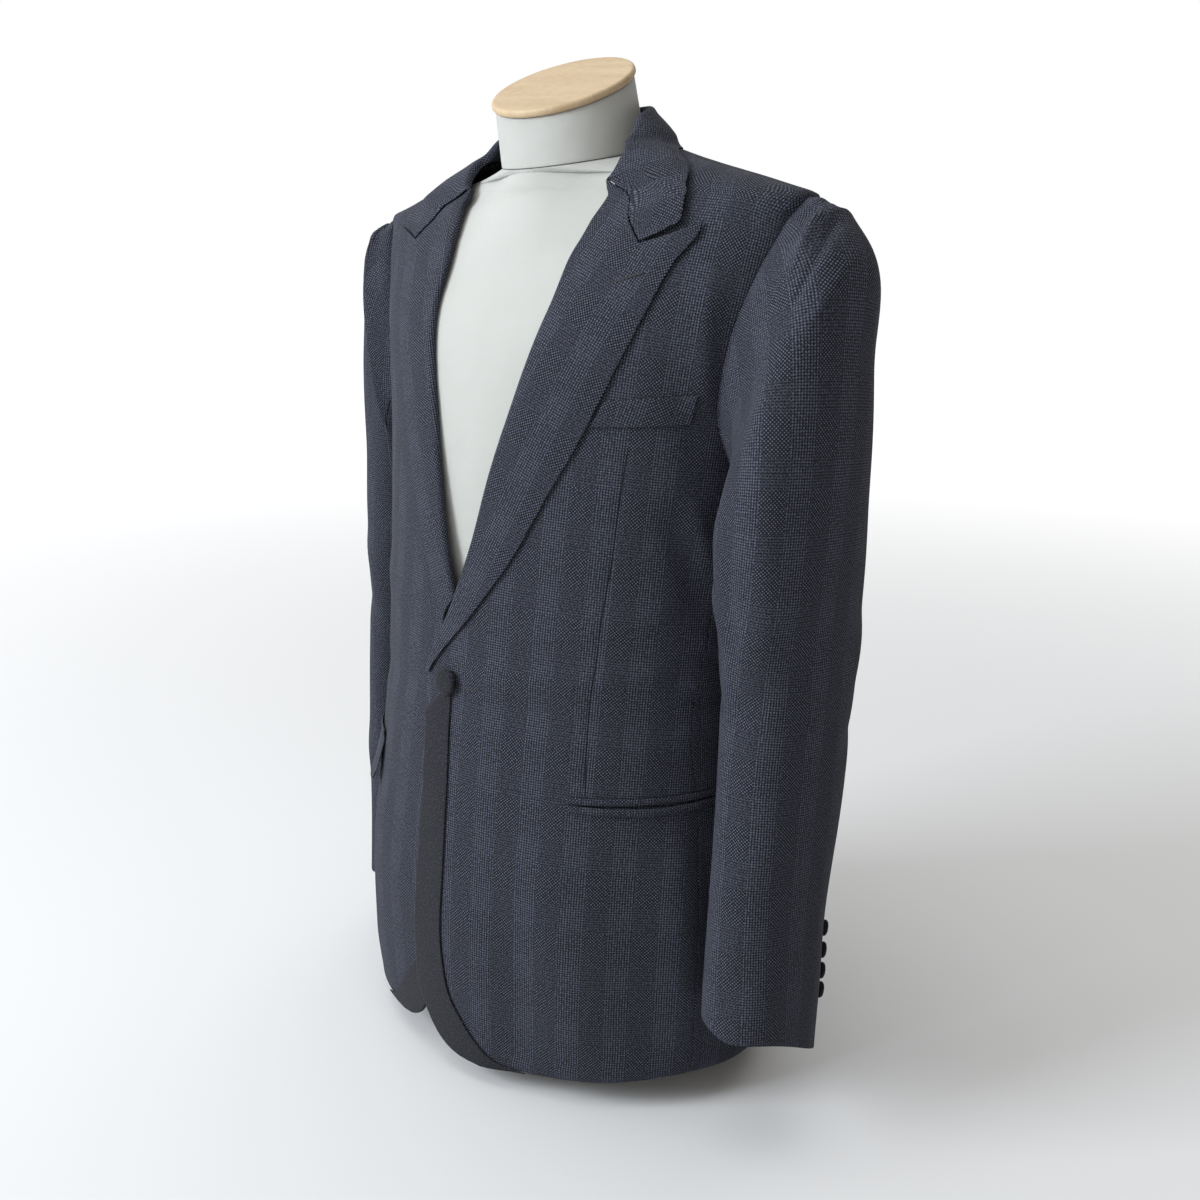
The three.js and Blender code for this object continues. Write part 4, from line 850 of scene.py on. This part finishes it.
def lapel(side, word, place, first_row, slant, lap):
    """A lapel lies on its front and bellies a little between its roll and its edge."""
    rows = np.linspace(0, 1, 120)[:, None]
    share = mix(.003, .997, np.unique(np.r_[np.linspace(0, 1, 44), .25, .5]))[None, :]
    row = mix(first_row + .006, GORGE_ROW - .006, rows)
    row = row - slant * share * np.clip(1 - (row - first_row) / 1.5, 0, 1)
    turn, z = lapel_place(place, share, row)
    width = np.clip(row_value(LEFT_FRONT[5], row) / .3, 0, 1)
    belly = 1.3 * np.sin(np.pi * share ** .7) * width * ease((row - 9.2) / 2)
    out = lap(turn, z) + LAP + .5 * ease((z - 640) / 30) + belly
    face = on_body(side * turn, z, out)
    normal = body_normal(side * turn[:, 0], z[:, 0])
    reach = ease((row[:, 0] - first_row) / .5)
    full = rolled_edge(face, np.full(len(row), LAP + 3.2), mix(.8, 5.0, reach), normal)
    sewn(f"lapel_{word}", full, side, WORSTED, (.3, .85, 1), "folded", [f"front_{word}_cloth"],
         shift=(-3 * side, 0), thick=1.3, rolls=(.5, .6, .6, .3))


lapel(1, "left", left_map, BREAK_ROW, 0, lap_out)
lapel(-1, "right", right_map, 10.1, .38, no_lap)


def band(side, word, place, last_row, lap, slant):
    """A plain strip along the front's edge, turned over it; the upper end is cut slanting."""
    share = np.linspace(.004, .996, 18)[None, :]
    top = last_row + slant * (share - .5)
    row = .006 + np.linspace(0, 1, 110)[:, None] * (top - .006)
    turn, z = place(share * row_value(LEFT_FRONT[4], row), row)
    lift = LAYER + THIN_WALL
    face = on_body(side * turn, z, lap(turn, z) + lift)
    normal = body_normal(side * turn[:, 0], z[:, 0])
    full = rolled_edge(face, np.full(len(row), lift + 2.7), np.full(len(row), 3.0), normal)
    sewn(f"band_{word}", full, side, PLAIN, (.3, .9, 1), "folded", [f"front_{word}_cloth"],
         slot="plain_cloth", thick=THIN_WALL, rolls=(.5, .35, .4, .3))


band(1, "left", left_map, BAND_TOP, lap_out, .62)
band(-1, "right", right_map, 4, no_lap, 0)


# ---------------------------------------------------------------- collar
def collar_value(column, row):
    """A collar column read along the whole collar, the second half mirroring the first."""
    return row_value(COLLAR[column], np.where(row <= COLLAR_END, row, 2 * COLLAR_END - row))


def collar_fall():
    """The fall: from the fold to the free edge, which settles onto the shoulders. Its ends are
    led along the gorge to the notch."""
    row = np.linspace(0, 2 * COLLAR_END, 190)[:, None]
    share = np.unique(np.r_[np.linspace(0, 1, 30), .25, .5])[None, :]
    away = np.minimum(row, 2 * COLLAR_END - row)
    pull = (1 - np.clip(away, 0, 1)) ** 2
    corners = zip(COLLAR[:2, 0], GORGE, NOTCH, COLLAR_TIP)
    end_turn, end_z = (np.interp(share, END_SHARES, corner) for corner in corners)
    turn = mix(collar_value(0, row), collar_value(4, row), share)
    turn = turn + pull * (end_turn - mix(COLLAR[0, 0], COLLAR[4, 0], share))
    z = mix(collar_value(1, row), collar_value(5, row), share) + 1.2 * (1 - away / COLLAR_END)
    z = z + pull * (end_z - mix(COLLAR[1, 0], COLLAR[5, 0], share))
    turn = np.where(row <= COLLAR_END, turn, 360 - turn)
    belly = collar_value(6, row) * 4 * share * (1 - share)
    out = mix(2 * LAP, LAP + 1.3, ease((away - .8) / 1.7)) + belly
    settle = 2.3 * ease((share - .7) / .3) * ease((away - 1) / 1.2)
    face = smooth_body(turn, z, out - settle)
    normal = body_normal(turn[:, 0], z[:, 0])
    height = np.maximum((collar_value(1, row) - collar_value(3, row))[:, 0], 0)
    full = rolled_edge(face, out[:, 0] + 2.3, 1 + .7 * height, normal)
    full = np.swapaxes(full, 0, 1)
    sewn("collar_fall", full, -1, WORSTED, (0, 1, .5), "folded", ["back_left_cloth", "back_right_cloth"],
         thick=1.3, rolls=(.3, .6, .6, .6))


collar_fall()


def collar_stand():
    """The stand: from the neckline seam up to just under the fold."""
    row = mix(.7, 2 * COLLAR_END - .7, np.linspace(0, 1, 150))[None, :]
    share = np.linspace(0, 1, 14)[:, None]
    turn = mix(collar_value(2, row), collar_value(0, row), share)
    turn = np.where(row <= COLLAR_END, turn, 360 - turn)
    z = mix(collar_value(3, row) + 1.5, collar_value(1, row) - 1.5, share)
    sewn("collar_stand", smooth_body(turn, z, LAYER), 1, WORSTED, (0, 1, .5), "folded",
         ["back_left_cloth", "back_right_cloth"], thick=WALL, rolls=(.4, .4, .4, .4))


collar_stand()


# ---------------------------------------------------------------- sleeves
def armhole_line():
    """Turn and height round the armhole against the share of its length from the shoulder."""
    rows = np.linspace(SHOULDER_ROW, ARMHOLE_ROW, 97)
    under = side_map(np.linspace(0, 1, 25)[1:-1], np.full(23, float(ARMHOLE_ROW)))
    turn = np.r_[row_value(LEFT_FRONT[2], rows), under[0], row_value(BACK[0], rows[::-1])]
    z = np.r_[row_value(LEFT_FRONT[3], rows), under[1], row_value(BACK[1], rows[::-1])]
    points = body_surface(mix(ARM_TURN, turn, ARMHOLE_CLEAR), mix(ARM_HEIGHT, z, ARMHOLE_CLEAR))
    length = np.r_[0, np.cumsum(np.linalg.norm(np.diff(points, axis=0), axis=1))]
    return length / length[-1], turn, z


ARMHOLE = armhole_line()
# Sleeve folds: share round the sleeve and place down it at both ends, width, height. A whole
# share is about a girth of cloth, a place about a drop, and the heights are multiplied by a depth.
SLEEVE_GIRTH, SLEEVE_DROP, SLEEVE_DEPTH = 310.0, 62.0, 1.6
SLEEVE_CREASES = {
    1: [(.02, .75, .13, 1.15, 6, 1.8), (.03, 1.25, .15, 1.7, 6, -1.7), (.01, 1.9, .12, 2.3, 8, 1.2),
        (.22, 2.2, .16, 5.4, 13, 1.6), (.30, 3.2, .26, 5.6, 9, -1.4), (.08, 4.8, .3, 5.6, 11, 1.2),
        (.06, 5.4, .28, 6.1, 10, -1.3), (.1, 7.2, .26, 7.9, 12, 1.1), (-.12, 2.4, -.16, 5.2, 14, -1.5),
        (-.04, 6.2, -.06, 9, 15, 1.2), (.44, 4.4, .3, 5.2, 7, 1.5), (.46, 5.4, .32, 6.1, 7, -1.2),
        (.6, 3.4, .64, 6.2, 13, 1.5), (-.2, 5, -.06, 5.8, 9, 1.3), (-.2, 6, -.05, 6.5, 9, -1.1),
        (.12, 8.4, .24, 9.4, 14, -1.0)],
    -1: [(.03, .8, .13, 1.2, 6, 1.5), (.02, 1.4, .14, 1.8, 7, -1.4), (.2, 2.4, .15, 5.2, 13, 1.4),
         (.06, 5, .26, 5.7, 10, 1.2), (.08, 5.6, .26, 6.3, 9, -1.1), (-.14, 2.6, -.16, 5, 14, -1.3),
         (-.05, 6.4, -.06, 9, 15, 1.1), (.44, 4.4, .32, 5.1, 7, 1.4), (.6, 3.6, .62, 6, 13, 1.3),
         (-.2, 5.1, -.06, 5.8, 9, 1.2), (.1, 7.6, .24, 8.3, 12, 1)]}


def sleeve_curve(table, side, share, place):
    """A ring is |cos|^q + |sin|^q = 1, tilted and raked; above the first ring the cloth leaves
    the armhole, where it starts tucked behind the body's edge."""
    ring_row = np.clip(place, 1, 10) - 1
    x, y, z, across, deep, tilt, rake = (row_value(column, ring_row) for column in table)
    angle = -2 * np.pi * share
    ahead, aside = np.cos(angle), np.sin(angle)
    size = (np.abs(ahead) ** SLEEVE_SQUARE + np.abs(aside) ** SLEEVE_SQUARE) ** (1 / SLEEVE_SQUARE)
    e, f = across * ahead / size, deep * aside / size
    dip = CUFF_DIP * bell(share - CUFF_DIP_SHARE, .12) * ease((np.clip(place, 1, 10) - 8) / 2)
    slope = np.radians(tilt)
    ring = stack(side * (x + e * np.cos(slope)), y + f, z + e * np.sin(slope) - rake * f - dip + HEM_LIFT)
    turn = np.interp(share % 1, ARMHOLE[0], ARMHOLE[1])
    height = np.interp(share % 1, ARMHOLE[0], ARMHOLE[2])
    tuck = ease(place / .1)
    clear = mix(1.012, ARMHOLE_CLEAR, tuck)
    loop = on_body(side * mix(ARM_TURN, turn, clear), mix(ARM_HEIGHT, height, clear), mix(-2.3, 0, tuck))
    under_arm = ((1 - np.cos(2 * np.pi * share)) / 2) ** 2
    free = np.clip(place / mix(1, UNDER_ARM_REACH, under_arm), 0, 1)
    leave = 1 - (1 - free) ** mix(1, 1.5, under_arm)
    return mix(loop, ring, leave[..., None])


def sleeve_normal(table, side, share, place, round_step, down_step):
    """The direction out of the sleeve: round it crossed with down it."""
    after, before = (sleeve_curve(table, side, share + s, place) for s in (round_step, -round_step))
    below = sleeve_curve(table, side, share, np.minimum(place + down_step, 10))
    above = sleeve_curve(table, side, share, np.maximum(place - down_step, 0))
    return unit(np.cross(after - before, below - above)) * side


def sleeve_point(table, side, share, place):
    """The smooth sleeve with its folds, the roll of its head and the puckers beside the seam."""
    share, place = np.broadcast_arrays(share, place)
    normal = sleeve_normal(table, side, share, place, .008, .04)
    upper = np.exp(-((share + .01) / .2) ** 4)
    roll = 2.4 * upper * bell(place - .3, .28) * ease(place / .16)
    beat = np.cos(2 * np.pi * share * 27 + 1.4 * np.sin(40 * share)) * (.6 + .4 * np.sin(17 * share + .7))
    pucker = .55 * upper * beat * bell(place - .55, .34) * ease(place / .25)
    total = roll + pucker
    for s0, p0, s1, p1, width, height in SLEEVE_CREASES[side]:
        round_it, down_it = ((share - s0 + .5) % 1 - .5) * SLEEVE_GIRTH, (place - p0) * SLEEVE_DROP
        run = ((s1 - s0) * SLEEVE_GIRTH, (p1 - p0) * SLEEVE_DROP)
        total = total + SLEEVE_DEPTH * ridge(round_it, down_it, run, width, height)
    return sleeve_curve(table, side, share, place) + normal * total[..., None]


def sleeve(side, word, table):
    """Upper and under sleeve meet along the front and hind seams, each drawn in a little."""
    place = np.unique(np.r_[np.linspace(0, 1, 26), np.linspace(1, 3, 30), np.linspace(3, 10, 92)])[:, None]
    hind = mix(HIND_SEAM_TOP, HIND_SEAM_CUFF, ease(place / 10))
    t = np.linspace(-1, 1, 104)[None, :]
    share = np.where(t < 0, mix(0, hind - 1 + .0008, -t), mix(0, FRONT_SEAM - .0008, t))
    face = sleeve_point(table, side, share, place)
    sewn(f"sleeve_upper_{word}", face, side, WORSTED, (.3, .95, .45), "hung", [f"front_{word}_cloth"],
         shift=(3 * side, 0), thick=1.6, rolls=(.3, .4, .75, .4))
    share = mix(FRONT_SEAM + .0008, hind - .0008, np.linspace(0, 1, 60)[None, :])
    face = sleeve_point(table, side, share, place)
    sewn(f"sleeve_under_{word}", face, side, WORSTED, (.3, .95, .5), "hung", [f"front_{word}_cloth"],
         thick=1.6, rolls=(.3, .4, .75, .4))


sleeve(1, "left", LEFT_SLEEVE)
sleeve(-1, "right", RIGHT_SLEEVE)


# ---------------------------------------------------------------- pockets
MOUTH_LOW, MOUTH_HIGH = 243, 252


def plate(name, side, corners, sag=0, gape=0, away=0, round_over=0, columns=56, rises=14, mouth=""):
    """A strip on the body inside four places: sag bows its lines down, gape lifts its upper
    edge, away lifts its lower edge off the cloth, round_over swells it like a welt. A pocket's
    lip is doubled over at its mouth, which is its low or its high edge. Beside the hip pocket's
    mouth the strip follows the cloth just above it, not the trough."""
    low_front, low_back, top_front, top_back = corners
    share = np.linspace(0, 1, columns)[None, :]
    rise = np.linspace(0, 1, rises)[:, None]
    turn = mix(mix(low_front[0], low_back[0], share), mix(top_front[0], top_back[0], share), rise)
    low = mix(low_front[1], low_back[1], share) + 5 * (2 * share - 1) ** 8 * min(away, 1)
    bow = np.sin(np.pi * share)
    z = mix(low, mix(top_front[1], top_back[1], share), rise) - sag * bow
    swell = round_over * (1 - (2 * rise - 1) ** 2)
    out = LAYER + THIN_WALL + gape * bow * rise + away * (1 - rise) ** 1.4 + swell
    calm = np.where(z > MOUTH_LOW, np.maximum(z, MOUTH_HIGH), z)
    face = smooth_body(side * turn, z, out + drape(side * turn, calm))
    thick, held = THIN_WALL, "hung" if away else "laid"
    if mouth:
        edge = -1 if mouth == "high" else 0
        normal = body_normal(side * turn[edge], z[edge])
        face = np.swapaxes(face[::-1] if mouth == "high" else face, 0, 1)
        depth = np.full(columns, 1.9) + gape * bow[0] * .5
        face = rolled_edge(face, depth, np.full(columns, 3.4), normal)
        face = np.swapaxes(face, 0, 1)
        face = face[::-1] if mouth == "high" else face
        thick, held = .55, "folded"
    beneath = "front_left_cloth" if side > 0 else "front_right_cloth"
    rolls = (.25, .25, .25, .25) if mouth else (.5, .4, .5, .4)
    sewn(name, face, side, WORSTED, (0, 1, .5), held, [beneath], thick=thick, rolls=rolls,
         shift=(5 * side, 9))


plate("breast_welt", 1, [(35.3, 537), (62.2, 541), (37.7, 557), (62.5, 563)],
      round_over=.3, columns=44, rises=18)


def pocket_strip(low, high):
    """Corners of a strip that runs level across the side seam."""
    return [(36.4, low), (82.6, low + 1), (36.4, high), (82.6, high + 1)]


plate("pocket_lip_upper_left", 1, pocket_strip(248, 253), round_over=.7, columns=84, rises=10,
      mouth="low")
plate("pocket_lip_lower_left", 1, pocket_strip(241, 246), sag=2.6, gape=1.8, round_over=.7, columns=84,
      rises=10, mouth="high")
plate("pocket_lip_upper_right", -1, pocket_strip(248, 253), round_over=.7, columns=84, rises=10,
      mouth="low")
plate("pocket_flap_right", -1, pocket_strip(203, 247), away=6.5, columns=84, rises=34)


# ---------------------------------------------------------------- buttons and buttonholes
def button(name, seat, outward, diameter, thick, lean=0.0):
    """A cloth-covered button: a dome over a rounded rim, flat behind, leaning down by `lean`."""
    along = unit(np.cross([0, 0, 1.0], outward))
    straight_up = np.cross(outward, along)
    up = straight_up * math.cos(lean) - outward * math.sin(lean)
    outward = outward * math.cos(lean) + straight_up * math.sin(lean)
    radius = diameter / 2
    profile = [(.05, 0), (.6, 0), (.86, .02), (.95, .12), (1, .3), (1, .45), (.975, .62), (.92, .77),
               (.82, .88), (.66, .95), (.45, .985), (.22, 1), (.04, 1)]
    spin = np.linspace(0, 2 * np.pi, 56, endpoint=False)[:, None]
    edge = radius * (np.cos(spin) * along + np.sin(spin) * up)
    rings = [seat + edge * r + outward * h * thick for r, h in profile]
    flat = np.stack([np.c_[np.cos(spin), np.sin(spin)] * radius * r for r, h in profile])
    return closed_rings(name, rings, PLAIN, uv=flat)


def front_button():
    """One button in the middle of the front, clear of the band beneath it."""
    turn, z = np.array(0.0), np.array(327.0)
    seat = on_body(turn, z, lap_out(turn, z) + LAYER + THIN_WALL + LAYER)
    piece = button("covered_front_button", seat, body_normal(turn, z), 22, 5)
    stands_for(piece, "front_button")


front_button()
CUFF_BUTTON_SHARE, CUFF_BUTTON_LEAN = np.array(.845), -.16


def cuff_buttons(side, word, table, lowest, pitch):
    """Four covered buttons in a line up the sleeve, the lowest at a place, a pitch apart."""
    for number in range(4):
        place = np.array(lowest - number * pitch)
        outward = sleeve_normal(table, side, CUFF_BUTTON_SHARE, place, .01, .05)
        seat = sleeve_point(table, side, CUFF_BUTTON_SHARE, place) + outward * .6
        node = f"cuff_button_{word}_{number + 1}"
        piece = button("covered_" + node, seat, outward, 13, 3.6, lean=CUFF_BUTTON_LEAN)
        stands_for(piece, node)


cuff_buttons(1, "left", LEFT_SLEEVE, 9.06, .27)
cuff_buttons(-1, "right", RIGHT_SLEEVE, 9.2, .22)


HOLE_DEGREE = 2.5  # millimetres of cloth in a degree of turn beside a buttonhole
STITCHES = 62


def buttonhole(name, start, end, out, gap=.45):
    """A worked buttonhole: thread wound over a cord that runs down one side of the slit and
    back up the other; the wound cord is a tube whose radius ripples once a stitch."""
    s = np.linspace(0, 1, 220, endpoint=False)
    along = .5 - .5 * np.cos(2 * np.pi * s)
    aside = np.sin(2 * np.pi * s)
    aside = np.sign(aside) * np.abs(aside) ** .35 * gap
    run = np.array([(end[0] - start[0]) * HOLE_DEGREE, end[1] - start[1]])
    across = np.array([-run[1], run[0]]) / np.hypot(*run)
    turn = mix(start[0], end[0], along) + aside * across[0] / HOLE_DEGREE
    z = mix(start[1], end[1], along) + aside * across[1]
    centre = on_body(turn, z, out(turn, z))
    normal = body_normal(turn, z)
    ahead = unit(np.roll(centre, -1, axis=0) - np.roll(centre, 1, axis=0))
    beside = np.cross(ahead, normal)
    ring = np.linspace(0, 2 * np.pi, 8, endpoint=False)[None, :, None]
    radius = (.42 + .1 * np.cos(2 * np.pi * s * STITCHES))[:, None, None]
    tube = centre[:, None] + radius * (np.cos(ring) * normal[:, None] * .7 + np.sin(ring) * beside[:, None])
    at = np.arange(tube.size // 3).reshape(tube.shape[:2])
    piece = make_mesh(name, tube.reshape(-1, 3), ring_quads(np.r_[at, at[:1]]), THREAD)
    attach(piece, "root")


def over_lapel(turn, z):
    """The lapel's face, with its belly near the buttonhole."""
    return LAP + 1.2 + lap_out(turn, z)


buttonhole("lapel_buttonhole", (32.1, 640), (38.1, 647), over_lapel)
buttonhole("front_buttonhole", (2.2, 325.4), (9.2, 324.6), lambda turn, z: lap_out(turn, z) + .1, gap=.5)


# ---------------------------------------------------------------- studio
def studio():
    """A wide pale floor that glows towards its rim, a sky that is white on the wearer's right
    and front and dim and warm on the left, a large cool key light and a small light above."""
    spin = np.radians(np.arange(96) * 360 / 96)
    radii = np.array([20, 500, 1500, 4000, 9000, 16000])
    rings = np.stack([stack(r * np.cos(spin), r * np.sin(spin), -.1) for r in radii])
    at = np.arange(rings.size // 3).reshape(rings.shape[:2])
    points = np.concatenate([rings.reshape(-1, 3), [[0, 0, -.1]]])
    fans = np.stack([np.full(96, len(points) - 1), at[0], np.roll(at[0], -1)], -1)
    f = Finish("studio_floor", (.66, .66, .66), .9, Specular_IOR_Level=.1, Emission_Color=(1, 1, 1, 1))
    place = f.node("SeparateXYZ", {0: f.node("TexCoord").outputs["Object"]}).outputs
    away = f.reckon("SQRT", f.line(place[0], place[0], f.times(place[1], place[1])))
    f.put(f.shader.inputs["Emission Strength"], f.fade(away, .6, 4.0, .0, .5))
    floor = make_mesh("studio_floor", points, ring_quads(at)[:, ::-1], f.material, tris=fans)
    world = bpy.data.worlds.new("studio")
    bpy.context.scene.world = world
    world.use_nodes = True
    nodes, links = world.node_tree.nodes, world.node_tree.links
    kinds = ("SeparateXYZ", "Math", "MapRange", "Mix")
    split, lean, shade, sky = (nodes.new("ShaderNode" + kind) for kind in kinds)
    links.new(nodes.new("ShaderNodeTexCoord").outputs["Generated"], split.inputs[0])
    lean.operation = "MULTIPLY_ADD"
    lean.inputs[1].default_value = 2.0
    links.new(split.outputs[0], lean.inputs[0])
    links.new(split.outputs[1], lean.inputs[2])
    shade.interpolation_type = "SMOOTHSTEP"
    shade.inputs["From Min"].default_value, shade.inputs["From Max"].default_value = 1.6, .3
    links.new(lean.outputs[0], shade.inputs["Value"])
    sky.data_type = "RGBA"
    sky.inputs[6].default_value, sky.inputs[7].default_value = (.13, .11, .09, 1), (1, 1, 1, 1)
    links.new(shade.outputs["Result"], sky.inputs[0])
    links.new(sky.outputs[2], nodes["Background"].inputs["Color"])
    for name, place, size, power, colour in (
            ("key", (-1.5, -2.9, 1.9), 1.6, 130, (.86, .93, 1)),
            ("top", (-.4, -.6, 3.0), 1.6, 14, (1, 1, 1))):
        lamp = bpy.data.lights.new(name, "AREA")
        lamp.energy, lamp.size, lamp.color = power, size, colour
        light = bpy.data.objects.new(name, lamp)
        light.location = place
        light.rotation_euler = (Vector((0, 0, .45)) - light.location).to_track_quat("-Z", "Y").to_euler()
        bpy.context.scene.collection.objects.link(light)
    bpy.context.scene.view_settings.view_transform = "Standard"


def camera():
    """The camera: a 42 mm lens on a 36 mm square frame, turned, dipped and rolled."""
    yaw, pitch, roll = (math.radians(a) for a in (42.04, 14.07, 1.14))
    ahead = np.array([-math.sin(yaw) * math.cos(pitch), math.cos(yaw) * math.cos(pitch), -math.sin(pitch)])
    right = np.array([math.cos(yaw), math.sin(yaw), 0])
    up = np.cross(right, ahead)
    rolled_right = math.cos(roll) * right + math.sin(roll) * up
    rolled_up = -math.sin(roll) * right + math.cos(roll) * up
    lens = bpy.data.cameras.new("camera")
    lens.sensor_width, lens.lens = 36.0, 42.0
    lens.clip_start, lens.clip_end = .05, 60
    eye = bpy.data.objects.new("camera", lens)
    turn = Matrix(np.column_stack([rolled_right, rolled_up, -ahead]).tolist()).to_4x4()
    eye.matrix_world = Matrix.Translation((.8033, -.8575, .678)) @ turn
    bpy.context.scene.collection.objects.link(eye)
    bpy.context.scene.camera = eye


studio()
camera()
